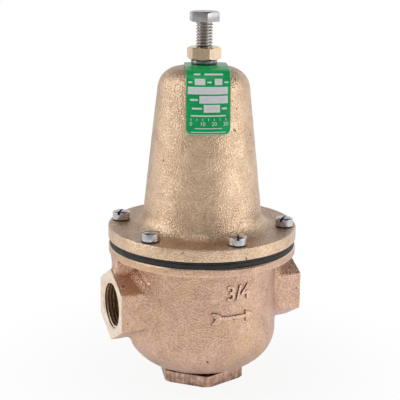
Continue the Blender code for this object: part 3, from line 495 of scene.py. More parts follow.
def cast_bronze(name, dark, light, stain, pit_and_shade, rubbed_and_glint, grain, relief, roughness, metallic, cover):
    """Sand-cast bronze with grain, patches, stains, pits and rubbed edges, and painted shade and highlights.
    """
    made, tree, shader, place = new_material(name)
    skin = use_group(tree, CAST_SKIN, Vector=place, Grain_Size=grain, Patch_Size=10 * grain, Pitting=0.5)
    wear_and_shade = use_group(tree, EDGE_WEAR_AND_SHADE, Vector=place, Spread=0.05)
    spots = use_group(tree, STAINS, Vector=place, Size=28 * MM, Cover=cover)
    tone = weighted(tree, skin["Tone"], 0.6, skin["Patch"], 0.4)
    # Corners, gaps and pits take the dark pit colour, which paints shade there; edges take the rubbed colour,
    # which is partly real rubbing and partly a painted highlight.
    colour = layered(
        tree, blend_colours(tree, tone, dark, light), (spots["Cloud"], 0.55, stain),
        (wear_and_shade["Corner_Dulling_And_Shade"], 0.5, pit_and_shade), (skin["Pits"], 0.8, pit_and_shade), (wear_and_shade["Edge_Wear_And_Glint"], 0.6, rubbed_and_glint),
        (wear_and_shade["Gap_Shade"], 0.9, pit_and_shade),
    )
    tree.links.new(colour, shader.inputs["Base Color"])
    unevenness = weighted(tree, skin["Tone"], -0.16, spots["Film"], 0.06)
    tree.links.new(maths(tree, "ADD", roughness + 0.08, unevenness), shader.inputs["Roughness"])
    shader.inputs["Metallic"].default_value = metallic
    shader.inputs["Specular Tint"].default_value = (0.74, 0.77, 0.84, 1)
    shader.inputs["Sheen Weight"].default_value = 0.06
    shader.inputs["Sheen Roughness"].default_value = 0.5
    shader.inputs["Sheen Tint"].default_value = (0.8, 0.78, 0.84, 1)
    add_bumps(tree, shader, skin["Height"], relief)
    return made


CAGE_SKIN = cast_bronze(
    "cage_skin", dark=(0.56, 0.375, 0.24), light=(1.0, 0.75, 0.53), stain=(0.64, 0.42, 0.25),
    pit_and_shade=(0.22, 0.13, 0.08), rubbed_and_glint=(0.95, 0.78, 0.62),
    grain=0.85 * MM, relief=0.4 * MM, roughness=0.31, metallic=0.92, cover=0.3,
)
BODY_SKIN = cast_bronze(
    "body_skin", dark=(0.52, 0.32, 0.22), light=(0.92, 0.62, 0.47), stain=(0.76, 0.5, 0.27),
    pit_and_shade=(0.12, 0.07, 0.04), rubbed_and_glint=(0.95, 0.72, 0.6),
    grain=0.9 * MM, relief=0.5 * MM, roughness=0.32, metallic=0.85, cover=0.55,
)
print("cast finishes:", CAGE_SKIN.name, BODY_SKIN.name)

# %% [markdown]
# ### Machined metal
#
# A cut surface is the bare metal: brighter and smoother than the skin, with lines from the tool.
# One function makes them all, from brass to stainless steel. It needs to know which way the lines
# run, so a finish for turned faces measures the radius and one for rods measures the height.

# %% Machined metals


def distance_along(tree, place, lay):
    """The distance that the marks change with: the radius, the way round it, or along one axis."""
    parts = add_node(tree, "ShaderNodeSeparateXYZ", {0: place}).outputs
    if lay == "around":
        return maths(tree, "MULTIPLY", maths(tree, "ARCTAN2", parts["Y"], parts["X"]), 20 * MM)
    if lay != "radius":
        return parts[lay]
    level = add_node(tree, "ShaderNodeCombineXYZ", {0: parts["X"], 1: parts["Y"]}).outputs[0]
    return add_node(tree, "ShaderNodeVectorMath", {0: level}, operation="LENGTH").outputs["Value"]


def machined_metal(
    name, colour, dull, roughness, lay, spacing=0.3 * MM, relief=0.01 * MM, film=0.4, gap_shade=0.7, worn=0.06,
):
    """Bare cut metal with tool marks, a patchy film and bright edges, and painted shade in corners and gaps.
    """
    made, tree, shader, place = new_material(name)
    marks = use_group(tree, TOOL_MARKS, Along=distance_along(tree, place, lay), Spacing=spacing)
    wear_and_shade = use_group(tree, EDGE_WEAR_AND_SHADE, Vector=place, Spread=worn, Break_Size=MM)
    spots = use_group(tree, STAINS, Vector=place, Size=7 * MM, Cover=0.5)
    dullness = maths(tree, "MULTIPLY", maths(tree, "ADD", marks["Streak"], spots["Film"]), film, clamp=True)
    # The corner and gap masks paint shade into the colour; the gap strength sets how dark the gaps get.
    gap_shade_colour = [0.3 * part for part in dull]
    tint = layered(
        tree, blend_colours(tree, dullness, colour, dull), (wear_and_shade["Corner_Dulling_And_Shade"], 0.6, dull),
        (wear_and_shade["Gap_Shade"], gap_shade, gap_shade_colour), (wear_and_shade["Edge_Wear_And_Glint"], 0.5, colour),
    )
    tree.links.new(tint, shader.inputs["Base Color"])
    unevenness = weighted(tree, marks["Streak"], 0.12, spots["Film"], 0.1)
    tree.links.new(maths(tree, "ADD", roughness - 0.06, unevenness), shader.inputs["Roughness"])
    shader.inputs["Metallic"].default_value = 1.0
    add_bumps(tree, shader, marks["Height"], relief)
    return made


print("marks can run along, across or round a piece")

# %% Bronze, brass and copper that a tool has cut
CUT_BRONZE = machined_metal("cut_bronze", (0.86, 0.66, 0.48), (0.6, 0.4, 0.26), 0.3, "radius")
PORT_FACE = machined_metal(
    "port_face", (0.9, 0.78, 0.66), (0.75, 0.56, 0.42), 0.42, "Z", spacing=0.6 * MM, gap_shade=0.2,
)
THREAD_BRONZE = machined_metal(
    "thread_bronze", (1.0, 0.86, 0.7), (0.22, 0.12, 0.07), 0.22, "X", film=0.15, gap_shade=0.0, worn=0.02,
)
PLUG_BRONZE = machined_metal(
    "plug_bronze", (0.8, 0.52, 0.39), (0.09, 0.04, 0.03), 0.24, "around",
    spacing=1.6 * MM, relief=0.04 * MM, film=0.85,
)
NUT_BRASS = machined_metal(
    "nut_brass", (1.0, 0.8, 0.57), (0.3, 0.17, 0.07), 0.11, "around", spacing=4.5 * MM, film=0.3,
)
COPPER = machined_metal("gasket_copper", (0.86, 0.6, 0.3), (0.5, 0.28, 0.12), 0.3, "radius")
print("yellow metals:", CUT_BRONZE.name, PLUG_BRONZE.name, NUT_BRASS.name, COPPER.name)

# %% Steels
STAINLESS = machined_metal("stainless", (0.66, 0.65, 0.65), (0.42, 0.41, 0.41), 0.28, "Z")
HEAD_STEEL = machined_metal(
    "head_steel", (0.53, 0.51, 0.52), (0.22, 0.2, 0.21), 0.15, "around", spacing=4 * MM,
)
THREAD_STEEL = machined_metal("thread_steel", (0.78, 0.74, 0.72), (0.22, 0.18, 0.16), 0.12, "Z", film=0.2)
SCREW_STEEL = machined_metal("screw_steel", (0.68, 0.67, 0.68), (0.4, 0.39, 0.4), 0.15, "Z", spacing=0.5 * MM)
# The slot's faces are darker than the head; the difference is painted shade inside the slot.
SHADED_SLOT_STEEL = machined_metal("shaded_slot_steel", (0.3, 0.29, 0.29), (0.12, 0.11, 0.11), 0.5, "Z")
# The washer's near-black dull colour paints the shadow of the nut onto it.
SHADOWED_WASHER_STEEL = machined_metal(
    "shadowed_washer_steel", (0.48, 0.47, 0.47), (0.03, 0.028, 0.028), 0.16, "radius", film=0.6,
)
PLATED_STEEL = machined_metal("plated_steel", (0.62, 0.62, 0.58), (0.4, 0.4, 0.36), 0.34, "radius")
SPRING_STEEL = machined_metal("spring_steel", (0.3, 0.3, 0.32), (0.16, 0.16, 0.17), 0.36, "Z")
print("steels:", STAINLESS.name, HEAD_STEEL.name, PLATED_STEEL.name, SPRING_STEEL.name)

# %% [markdown]
# ### Rubber, fibre and the painted tag
#
# Rubber is matt and never quite black; a dusty bloom lightens it. The tag is thin aluminium with a
# coat of green paint, which is glossier than the castings and worn through at its edges.

# %% Helpers for soft and painted finishes


def matt_finish(name, colour, bloom, roughness, grain):
    """Rubber or pressed fibre: fine grain under a patchy bloom."""
    made, tree, shader, place = new_material(name)
    skin = use_group(tree, CAST_SKIN, Vector=place, Grain_Size=grain, Patch_Size=12 * grain, Pitting=0.1)
    spots = use_group(tree, STAINS, Vector=place, Size=10 * MM, Cover=0.5)
    share = maths(tree, "MULTIPLY", maths(tree, "ADD", skin["Patch"], spots["Film"]), 0.5)
    tree.links.new(blend_colours(tree, share, colour, bloom), shader.inputs["Base Color"])
    uneven = ramp(tree, skin["Tone"], 0, 1, roughness - 0.08, roughness + 0.08)
    tree.links.new(uneven, shader.inputs["Roughness"])
    add_bumps(tree, shader, skin["Height"], 0.1 * MM, 0.6)
    return made


def painted(name, paint, bare, roughness):
    """Paint on aluminium, thinner along the edges."""
    made, tree, shader, place = new_material(name)
    skin = use_group(tree, CAST_SKIN, Vector=place, Grain_Size=0.4 * MM, Patch_Size=8 * MM, Pitting=0.0)
    wear_and_shade = use_group(tree, EDGE_WEAR_AND_SHADE, Vector=place, Spread=0.05, Break_Size=MM)
    thick, thin = [0.86 * part for part in paint], [min(1.1 * part, 1) for part in paint]
    coat = blend_colours(tree, skin["Patch"], thick, thin)
    tree.links.new(blend_colours(tree, wear_and_shade["Edge_Wear_And_Glint"], coat, bare), shader.inputs["Base Color"])
    uneven = ramp(tree, skin["Patch"], 0, 1, roughness - 0.06, roughness + 0.06)
    tree.links.new(uneven, shader.inputs["Roughness"])
    shader.inputs["Specular IOR Level"].default_value = 0.3
    add_bumps(tree, shader, skin["Height"], 0.04 * MM, 0.3)
    return made


print("rubber and paint can be mixed")

# %% Rubber, fibre, paint and print
RUBBER = matt_finish("rubber", (0.013, 0.012, 0.013), (0.036, 0.034, 0.034), 0.62, 0.5 * MM)
FIBRE = matt_finish("fibre", (0.35, 0.09, 0.06), (0.5, 0.2, 0.13), 0.8, 0.6 * MM)
TAG_PAINT = painted("tag_paint", (0.0, 0.5, 0.14), (0.6, 0.85, 0.66), 0.24)
PRINT_WHITE = painted("print_white", (0.98, 1.0, 0.99), (0.98, 1.0, 0.99), 0.4)
PRINT_GREY = painted("print_grey", (0.9, 0.94, 1.0), (0.9, 0.94, 1.0), 0.45)
print("soft and painted finishes:", RUBBER.name, FIBRE.name, TAG_PAINT.name, PRINT_WHITE.name)

# %% [markdown]
# ## The body casting
#
# The body is a bowl with a flange on top and a hexagonal boss on each side for the pipes. Pattern
# makers leave a soft fillet wherever two shapes meet, because sharp inner corners crack as bronze
# cools. Bevelling every meeting line by hand is slow and fragile. It is easier to join the plain
# shapes, remesh them into small even voxels and smooth the result: every corner then turns soft,
# and the even points take the casting noise well. The machining comes after, so it stays crisp.

# %% Sizes of the body
BOWL_RADIUS = 41.6 * MM
BOWL_CORNER = (23.9 * MM, 21.1 * MM)
NECK_RADIUS = 40.2 * MM
NECK_ROUND = 2.8 * MM
SPOT_FACE_RADIUS = 22 * MM
BODY_FLANGE = 4.4 * MM
BODY_WALL = 4.2 * MM
CHAMBER_RADIUS = NECK_RADIUS - BODY_WALL
FLANGE_UNDERSIDE = BODY_TOP - BODY_FLANGE
PORT_HEIGHT = BODY_BOTTOM + 39.1 * MM
PORT_FLATS = 35.2 * MM
RIB_WIDTH = 8.5 * MM
RIB_REACH = PORT_REACH - 1.7 * MM
BOSS_ROOT = 5 * MM
FILLET_LEG = 2.7 * MM
ALLOWANCE = 1.2 * MM
RIM_INSET = 0.15 * MM
BOLT_CIRCLE = NECK_RADIUS + 4.9 * MM
SCREW_COUNT = 6
print(f"the bowl is {2000 * BOWL_RADIUS:.1f} mm wide and its ports are {1000 * PORT_HEIGHT:.1f} mm up")

# %% Hexagons and bars


def corner_radius(flats):
    """From the middle of a hexagon to its corner."""
    return flats / 2 / math.cos(math.pi / 6)


def hexagon(flats, turn=0.0):
    """The six corners of a hexagon that far across its flats, the first at -Y before the turn."""
    corner = corner_radius(flats)
    angles = [turn - math.pi / 2 + side * math.pi / 3 for side in range(6)]
    return [(corner * math.cos(angle), corner * math.sin(angle)) for angle in angles]


def tube(centres, outwards, upward, radius, sides=12, closed=True):
    """A round bar along a line of centres, each with its own outward direction."""
    mesh = bmesh.new()
    rings = []
    for centre, outward in zip(centres, outwards):
        angles = [TURN * corner / sides for corner in range(sides)]
        ring = [centre + radius * (outward * math.cos(a) + upward * math.sin(a)) for a in angles]
        rings.append([mesh.verts.new(point) for point in ring])
    for here, there in zip(rings, rings[1:] + rings[:1] if closed else rings[1:]):
        for corner in range(sides):
            beside = (corner + 1) % sides
            mesh.faces.new((here[corner], here[beside], there[beside], there[corner]))
    if not closed:
        mesh.faces.new(rings[0])
        mesh.faces.new(rings[-1])
    bmesh.ops.recalc_face_normals(mesh, faces=mesh.faces)
    return mesh


print(f"a port's hexagon is {2000 * corner_radius(PORT_FLATS):.1f} mm across its corners")

# %% The rough casting


def bowl_outline():
    """Half the rough outside, with extra metal where it is machined later."""
    bottom, top = BODY_BOTTOM - ALLOWANCE, BODY_TOP + ALLOWANCE
    bowl = arc((BOWL_RADIUS - BOWL_CORNER[0], BODY_BOTTOM + BOWL_CORNER[1]), BOWL_CORNER, -80, 0, 24)
    fillet = arc((NECK_RADIUS + NECK_ROUND, FLANGE_UNDERSIDE - NECK_ROUND), NECK_ROUND, 180, 90, 8)
    rim = FLANGE_RADIUS - RIM_INSET
    flange = [(rim, FLANGE_UNDERSIDE), (rim, top), (0, top)]
    return [(0, bottom), (SPOT_FACE_RADIUS, bottom)] + bowl + fillet + flange


def port_boss(side):
    """A hexagonal boss with a corner on top, from inside the bowl out past its finished face."""
    boss = prism(hexagon(PORT_FLATS), BOSS_ROOT, PORT_REACH + ALLOWANCE)
    stand = Matrix.Rotation(side * math.pi / 2, 4, "Y") @ Matrix.Rotation(math.pi / 2, 4, "Z")
    return placed(boss, Matrix.Translation((0, 0, PORT_HEIGHT)) @ stand)


def port_rib(side):
    """The rib that ties a boss to the flange."""
    half = RIB_WIDTH / 2
    ends = sorted((side * BOSS_ROOT, side * RIB_REACH))
    outline = [(ends[0], -half), (ends[1], -half), (ends[1], half), (ends[0], half)]
    return prism(outline, PORT_HEIGHT + PORT_FLATS / 2, FLANGE_UNDERSIDE + 0.3 * MM)


def port_fillet(side):
    """A four-sided bar along the corner between a boss and the bowl, which leaves a slope across it."""
    corners = hexagon(PORT_FLATS)
    path = []
    for here, there in zip(corners, corners[1:] + corners[:1]):
        path += between(here, there, 8)
    centres, outwards = [], []
    for y, z in path:
        away = Vector((side * math.sqrt(BOWL_RADIUS**2 - y**2), y, 0)) / BOWL_RADIUS
        outward = Vector((0, y, z)).normalized()
        centres.append(away * BOWL_RADIUS + Vector((0, 0, PORT_HEIGHT + z)))
        outwards.append((outward - outward.dot(away) * away).normalized())
    return tube(centres, outwards, Vector((side, 0, 0)), FILLET_LEG, 4)


print("the casting is made of a bowl, two bosses, two ribs and two fillets")

# %% Join the plain shapes
body = make_object("valve_body", turned(bowl_outline(), 160), BODY_SKIN)
carve(
    body,
    ("UNION", joined(port_boss(-1), port_boss(1)), BODY_SKIN),
    ("UNION", joined(port_rib(-1), port_rib(1)), BODY_SKIN),
    ("UNION", joined(port_fillet(-1), port_fillet(1)), BODY_SKIN),
)
print("plain shapes joined:", len(body.data.vertices), "points")

# %% [markdown]
# ### Rough metal from noise
#
# Molten bronze takes up the grains of the sand mould, so no cast surface is truly flat. A few
# tenths of a millimetre of slow noise moves the real points, which also makes the outline a little
# uneven. The finest grain is left to the material, where it costs no points.

# %% Casting unevenness
WAVE_SOFTNESS = 0.9
WAVE_RATIO = 2.1
WAVE_LAYERS = 3


def roughen(piece, depth, size, keep=lambda point: 1.0):
    """Moves points along their normals by smooth noise; `keep` says how much of it a place gets."""
    data = piece.data
    normals = [vertex.normal.copy() for vertex in data.vertices]
    for vertex, normal in zip(data.vertices, normals):
        wave = noise.fractal(vertex.co / size, WAVE_SOFTNESS, WAVE_RATIO, WAVE_LAYERS)
        vertex.co += normal * (depth * keep(vertex.co) * max(min(wave, 1), -1))
    data.update()


print("casting noise has", WAVE_LAYERS, "layers")

# %% Soft corners and an uneven skin
VOXEL = 0.85 * MM
remesh = body.modifiers.new("even points", "REMESH")
remesh.mode = "VOXEL"
remesh.voxel_size = VOXEL
soften = body.modifiers.new("soft corners", "SMOOTH")
soften.factor = 0.5
soften.iterations = 2
apply_modifiers(body)
body.data.materials.clear()
body.data.materials.append(BODY_SKIN)
roughen(body, depth=0.16 * MM, size=9 * MM)
roughen(body, depth=0.05 * MM, size=2.4 * MM)
shade(body, 60)
print("cast skin:", len(body.data.vertices), "points")

# %% [markdown]
# ### Raised marks
#
# The pattern maker carved an arrow into the mould, so the casting shows which way the water flows,
# and above it the size of the pipe. Both are drawn flat, sliced so that they can bend, wrapped round
# the bowl and joined to it, a little under a millimetre proud. They come after the remesh, which
# would have blurred them away.

# %% The arrow
ARROW_LENGTH = 26 * MM
ARROW_HEAD = 3.1 * MM
ARROW_SHAFT = 1.0 * MM
PROUD = 0.8 * MM


def flow_arrow():
    """The outline of the arrow, with a notched tail."""
    half, head, shaft = ARROW_LENGTH / 2, ARROW_HEAD, ARROW_SHAFT
    neck, tail = half - 2 * head, 2 * head - half
    upper = [(half, 0), (neck, head), (neck, shaft), (tail, shaft), (head - half, head)]
    lower = [(x, -y) for x, y in upper[:0:-1]]
    return upper + [(-half, head), (0.8 * head - half, 0), (-half, -head)] + lower


arrow = prism(flow_arrow(), -3 * PROUD, 0)
top_edges = [edge for edge in arrow.edges if all(vertex.co.z > -PROUD for vertex in edge.verts)]
bmesh.ops.bevel(arrow, geom=top_edges, offset=0.25 * MM, segments=2, profile=0.5, affect="EDGES")
print(f"an arrow {1000 * ARROW_LENGTH:.0f} mm long, {1000 * PROUD:.1f} mm proud")

# %% The size mark
MARK_SIZE = 11.4 * MM
MARK_SWELL = 0.12 * MM


def drawn_text(text, size, thickness, swell=0.0):
    """Plain figures as a flat closed mesh, lying in X and Y."""
    curve = bpy.data.curves.new("figures", "FONT")
    curve.body = text
    curve.size = size
    curve.align_x = "CENTER"
    curve.resolution_u = 3
    curve.extrude = thickness / 2
    curve.offset = swell
    holder = bpy.data.objects.new("figures", curve)
    bpy.context.scene.collection.objects.link(holder)
    graph = bpy.context.evaluated_depsgraph_get()
    flat = bpy.data.meshes.new_from_object(holder.evaluated_get(graph))
    bpy.data.objects.remove(holder)
    mesh = bmesh.new()
    mesh.from_mesh(flat)
    bmesh.ops.remove_doubles(mesh, verts=mesh.verts, dist=1e-6)
    return mesh


drawn_mark = drawn_text("3/4", MARK_SIZE, 3 * PROUD, MARK_SWELL)
size_mark = placed(drawn_mark, Matrix.Translation((0, 0, -1.5 * PROUD)))
print("the size mark has", len(size_mark.verts), "points")

# %% Wrap both round the bowl
ARROW_HEIGHT = PORT_HEIGHT - 0.5 * MM
ARROW_TURN = math.radians(1.5)
MARK_HEIGHT = PORT_HEIGHT + 9.1 * MM
MARK_TURN = math.radians(5)
SLICE = 1.5 * MM


def wrapped(mesh, height, bearing):
    """Bends a flat mark round the bowl at a height; its top ends up standing proud."""
    reach = max(abs(vertex.co.x) for vertex in mesh.verts)
    steps = int(reach / SLICE)
    for step in range(-steps, steps + 1):
        every = list(mesh.verts) + list(mesh.edges) + list(mesh.faces)
        bmesh.ops.bisect_plane(mesh, geom=every, plane_co=(step * SLICE, 0, 0), plane_no=(1, 0, 0))
    bowl_top = BODY_BOTTOM + BOWL_CORNER[1]
    taper = (BOWL_RADIUS - NECK_RADIUS) / (FLANGE_UNDERSIDE - NECK_ROUND - bowl_top)
    for vertex in mesh.verts:
        across, up, lift = vertex.co
        radius = BOWL_RADIUS - taper * (height + up - bowl_top) + PROUD + lift
        angle = bearing + across / BOWL_RADIUS
        vertex.co = (radius * math.sin(angle), -radius * math.cos(angle), height + up)
    bmesh.ops.recalc_face_normals(mesh, faces=mesh.faces)
    return mesh


carve(
    body,
    ("UNION", wrapped(arrow, ARROW_HEIGHT, ARROW_TURN), BODY_SKIN),
    ("UNION", wrapped(size_mark, MARK_HEIGHT, MARK_TURN), BODY_SKIN),
    solver="MANIFOLD",
)
print("marks raised:", len(body.data.vertices), "points")

# %% [markdown]
# ### Inside the body
#
# A sloping partition crosses the inside, over the inlet and under the outlet, so that water can
# only pass through the seat in its middle. The two chambers are cut one after the other, each with
# a turned shape from which a block has taken away the other side of the partition.

# %% Sizes of the partition
SEAT_HOLE = 11.8 * MM
PARTITION = 4 * MM
PIPE_RADIUS = 13.1 * MM
SHELF_DROP = PIPE_RADIUS + 2 * MM
WALL_FOOT = 14.2 * MM
PARTITION_LEAN = 6 * MM
BOSS_TOP = BODY_BOTTOM + 9 * MM
print(f"the partition is {1000 * PARTITION:.0f} mm thick and steps {2000 * SHELF_DROP:.1f} mm down")

# %% The two chambers


def hollow_outline():
    """Half the bowl's inside, left open at the top."""
    inner = (BOWL_CORNER[0] - BODY_WALL, BOWL_CORNER[1] - BODY_WALL)
    outline = [(0, BOSS_TOP), (SPOT_FACE_RADIUS, BOSS_TOP)]
    outline += arc((BOWL_RADIUS - BOWL_CORNER[0], BODY_BOTTOM + BOWL_CORNER[1]), inner, -72, 0, 12)
    opening = BODY_TOP + 3 * ALLOWANCE
    return outline + [(CHAMBER_RADIUS, FLANGE_UNDERSIDE), (CHAMBER_RADIUS, opening), (0, opening)]


def chamber(lift, closing_height):
    """The hollow on one side of the partition, up or down to a closing height."""
    hollow = make_object("hollow", turned(hollow_outline(), 96), BODY_SKIN)
    lean, level, drop = WALL_FOOT + PARTITION_LEAN, PORT_HEIGHT + lift, SHELF_DROP + PARTITION / 2
    side = [
        (-PORT_REACH, level + drop), (-lean, level + drop), (-WALL_FOOT, level), (WALL_FOOT, level),
        (lean, level - drop), (PORT_REACH, level - drop),
        (PORT_REACH, closing_height), (-PORT_REACH, closing_height),
    ]
    wedge = placed(prism(side, -FLANGE_RADIUS, FLANGE_RADIUS), Matrix.Rotation(math.pi / 2, 4, "X"))
    carve(hollow, ("INTERSECT", wedge, BODY_SKIN))
    shape = bmesh.new()
    shape.from_mesh(hollow.data)
    bpy.data.objects.remove(hollow)
    return shape


carve(
    body,
    ("DIFFERENCE", chamber(PARTITION / 2, CROWN), BODY_SKIN),
    ("DIFFERENCE", chamber(-PARTITION / 2, 0), BODY_SKIN),
)
print("chambers cut:", len(body.data.vertices), "points")

# %% [markdown]
# ### Machining the body
#
# Four faces are milled or turned flat: both ends of the ports, the joint at the top and the spot
# face for the plug. Then the pipe threads, six bolt holes, the seat hole and the plug hole are
# cut. The tools of one kind do not touch each other, so they go in as one mesh and one Boolean.

# %% Flat faces
FLANGE_BREAK = 0.8 * MM


def block(low, high):
    """A box between two corners."""
    outline = [(low[0], low[1]), (high[0], low[1]), (high[0], high[1]), (low[0], high[1])]
    return prism(outline, low[2], high[2])


def face_tools():
    """One tool past each machined face; the one on top also breaks the flange's upper edge."""
    wide, over = 30 * MM, 4 * MM
    low, high, rim = BODY_BOTTOM + over, BODY_TOP - over, FLANGE_RADIUS + over
    left = block((-PORT_REACH - over, -wide, low), (-PORT_REACH, wide, high))
    right = block((PORT_REACH, -wide, low), (PORT_REACH + over, wide, high))
    spot = turned([(0, 0), (wide, 0), (wide, BODY_BOTTOM), (0, BODY_BOTTOM)], 96)
    edge = [(0, BODY_TOP), (FLANGE_RADIUS - FLANGE_BREAK, BODY_TOP), (rim, BODY_TOP - over - FLANGE_BREAK)]
    top = turned(edge + [(rim, BODY_TOP + over), (0, BODY_TOP + over)], 160)
    return joined(left, right), joined(spot, top)


port_faces, turned_faces = face_tools()
carve(body, ("DIFFERENCE", port_faces, PORT_FACE), ("DIFFERENCE", turned_faces, CUT_BRONZE))
print("four faces machined")

# %% [markdown]
# ### Threads
#
# A thread is a ridge wound in a helix. One full profile has a flat root, a sloping flank, a narrow
# flat crest and a second flank, so the rod is wound from four lines that climb one pitch a turn.
# A taper makes the same helper cut pipe threads, which grow wider towards the mouth of a port.

# %% The threaded rod


def threaded_rod(crest, depth, pitch, length, segments, taper=0.0):
    """A right-hand thread along Z, closed at both ends, that starts at the origin."""
    mesh = bmesh.new()
    steps = math.ceil(length / pitch * segments)
    profile = [(0.18, -depth), (0.46, 0.0), (0.60, 0.0)]

    def line(share, sink, count):
        """One line of the profile, which lies a share of the pitch up and sinks below the crest."""
        points = []
        for step in range(count):
            angle = TURN * step / segments
            height = pitch * (step / segments + share)
            radius = crest + sink + taper * height
            points.append(mesh.verts.new((radius * math.cos(angle), radius * math.sin(angle), height)))
        return points

    root = line(0, -depth, steps + segments + 1)
    lines = [root] + [line(share, sink, steps + 1) for share, sink in profile]
    for step in range(steps):
        strip = [one[step] for one in lines] + [root[step + segments]]
        ahead = [one[step + 1] for one in lines] + [root[step + segments + 1]]
        for low in range(4):
            mesh.faces.new((strip[low], ahead[low], ahead[low + 1], strip[low + 1]))
    for first in (0, steps):
        loop = root[first:first + segments + 1] + [one[first] for one in reversed(lines[1:])]
        centre = mesh.verts.new((0, 0, pitch * (first / segments + 0.5)))
        for here, there in zip(loop, loop[1:] + loop[:1]):
            mesh.faces.new((centre, here, there))
    bmesh.ops.recalc_face_normals(mesh, faces=mesh.faces)
    return mesh


print("one profile, four lines, any pitch")

# %% Pipe threads
PIPE_PITCH = 1.8143 * MM
PIPE_THREAD_DEPTH = 1.2 * MM
PIPE_TAPER = 1 / 32
PORT_CHAMFER = 0.4 * MM


def port_thread(side):
    """The tapered pipe thread of one port, as a cutter."""
    length = PORT_REACH - CHAMBER_RADIUS + 2 * PIPE_PITCH
    small_end = PIPE_RADIUS - PIPE_TAPER * length
    rod = threaded_rod(small_end, PIPE_THREAD_DEPTH, PIPE_PITCH, length, 56, PIPE_TAPER)
    start = Matrix.Translation((side * (PORT_REACH - length), 0, PORT_HEIGHT))
    return placed(rod, start @ Matrix.Rotation(side * math.pi / 2, 4, "Y"))


def countersink(side):
    """The short cone that leads a pipe into the thread."""
    narrow, wide = PIPE_RADIUS - PIPE_THREAD_DEPTH / 3, PIPE_RADIUS + PORT_CHAMFER
    depth = wide - narrow
    cone = turned([(0, 0), (narrow, 0), (wide, depth), (wide, 2 * depth), (0, 2 * depth)], 72)
    start = Matrix.Translation((side * (PORT_REACH - depth), 0, PORT_HEIGHT))
    return placed(cone, start @ Matrix.Rotation(side * math.pi / 2, 4, "Y"))


print(f"pipe thread: {25.4 / (1000 * PIPE_PITCH):.0f} turns to the inch")

# %% Drills
PLUG_HOLE = 17.2 * MM
BOLT_HOLE = 3.45 * MM


def on_bolt_circle(number):
    """Where a cage screw stands. The first is at the front."""
    angle = TURN * number / SCREW_COUNT - math.pi / 2
    return Matrix.Translation((BOLT_CIRCLE * math.cos(angle), BOLT_CIRCLE * math.sin(angle), 0))


def drill(radius, low, high, segments=24):
    """A drill between two heights."""
    return turned([(0, low), (radius, low), (radius, high), (0, high)], segments)


def bolt_drills(low, high):
    """Six drills on the bolt circle."""
    return [placed(drill(BOLT_HOLE, low, high), on_bolt_circle(number)) for number in range(SCREW_COUNT)]


print(f"{SCREW_COUNT} screws on a circle {2000 * BOLT_CIRCLE:.1f} mm across")

# %% Cut the threads and the holes
seat_drill = drill(SEAT_HOLE, PORT_HEIGHT - PARTITION, PORT_HEIGHT + PARTITION, 48)
plug_drill = drill(PLUG_HOLE, 0, BOSS_TOP + PARTITION, 64)
flange_drills = bolt_drills(FLANGE_UNDERSIDE - PARTITION, BODY_TOP + PARTITION)
holes = joined(port_thread(-1), port_thread(1), seat_drill, plug_drill, *flange_drills)
carve(
    body,
    ("DIFFERENCE", holes, THREAD_BRONZE),
    ("DIFFERENCE", joined(countersink(-1), countersink(1)), PORT_FACE),
)
shade(body, 32)
seat(body, "root", "body_bronze", "body")

# %% [markdown]
# ## The spring cage
#
# The bell is round all the way, so the lathe helper makes it in one go: a flange, a long cone and
# a rounded shoulder. Its rows are spaced as closely as its columns, because the casting noise
# needs even points. The noise is weak on the flange's rim and gone at the crown.

# %% Sizes of the spring cage
CAGE_FLANGE_TOP = CAGE_BOTTOM + 6.8 * MM
CAGE_FOOT_RADIUS = BOLT_CIRCLE - 12 * MM
CAGE_FOOT_ROUND = 8 * MM
CAGE_TOP_RADIUS = 24.8 * MM
CAGE_SHOULDER_ROUND = 11.8 * MM
CAGE_CROWN_RADIUS = 8.5 * MM
CROWN_SLOPE = math.radians(8.5)
CAGE_WALL = 3.3 * MM
CAGE_BOSS = (4 * MM, 9.5 * MM)
RIM_ROUNDS = (0.5 * MM, 0.9 * MM)
CAGE_RIM_INSET = 0.04 * MM
SCREW_RADIUS = 4.7 * MM
SCREW_HOLE = SCREW_RADIUS + 0.3 * MM
HOLE_BREAK = 0.4 * MM
print(f"the bell narrows from {2000 * CAGE_FOOT_RADIUS:.1f} to {2000 * CAGE_TOP_RADIUS:.1f} mm")

# %% Its cone and shoulder


def shoulder_centre():
    """The centre of the shoulder's arc, so that it runs on into the sloping crown."""
    radius = CAGE_TOP_RADIUS - CAGE_SHOULDER_ROUND
    run = radius + CAGE_SHOULDER_ROUND * math.sin(CROWN_SLOPE) - CAGE_CROWN_RADIUS
    drop = run * math.tan(CROWN_SLOPE) + CAGE_SHOULDER_ROUND * math.cos(CROWN_SLOPE)
    return radius, CROWN - drop


def cage_lean():
    """How much radius the cone loses for each unit of height."""
    return (CAGE_FOOT_RADIUS - CAGE_TOP_RADIUS) / (shoulder_centre()[1] - CAGE_FLANGE_TOP)


def shoulder_arc(offset, steps):
    """The shoulder from the cone up to the crown, moved outwards by an offset."""
    start, end = math.degrees(math.atan(cage_lean())), 90 - math.degrees(CROWN_SLOPE)
    return arc(shoulder_centre(), CAGE_SHOULDER_ROUND + offset, start, end, steps)


print(f"the cone loses {1000 * cage_lean():.0f} microns of radius for each millimetre of height")

# %% Its outline


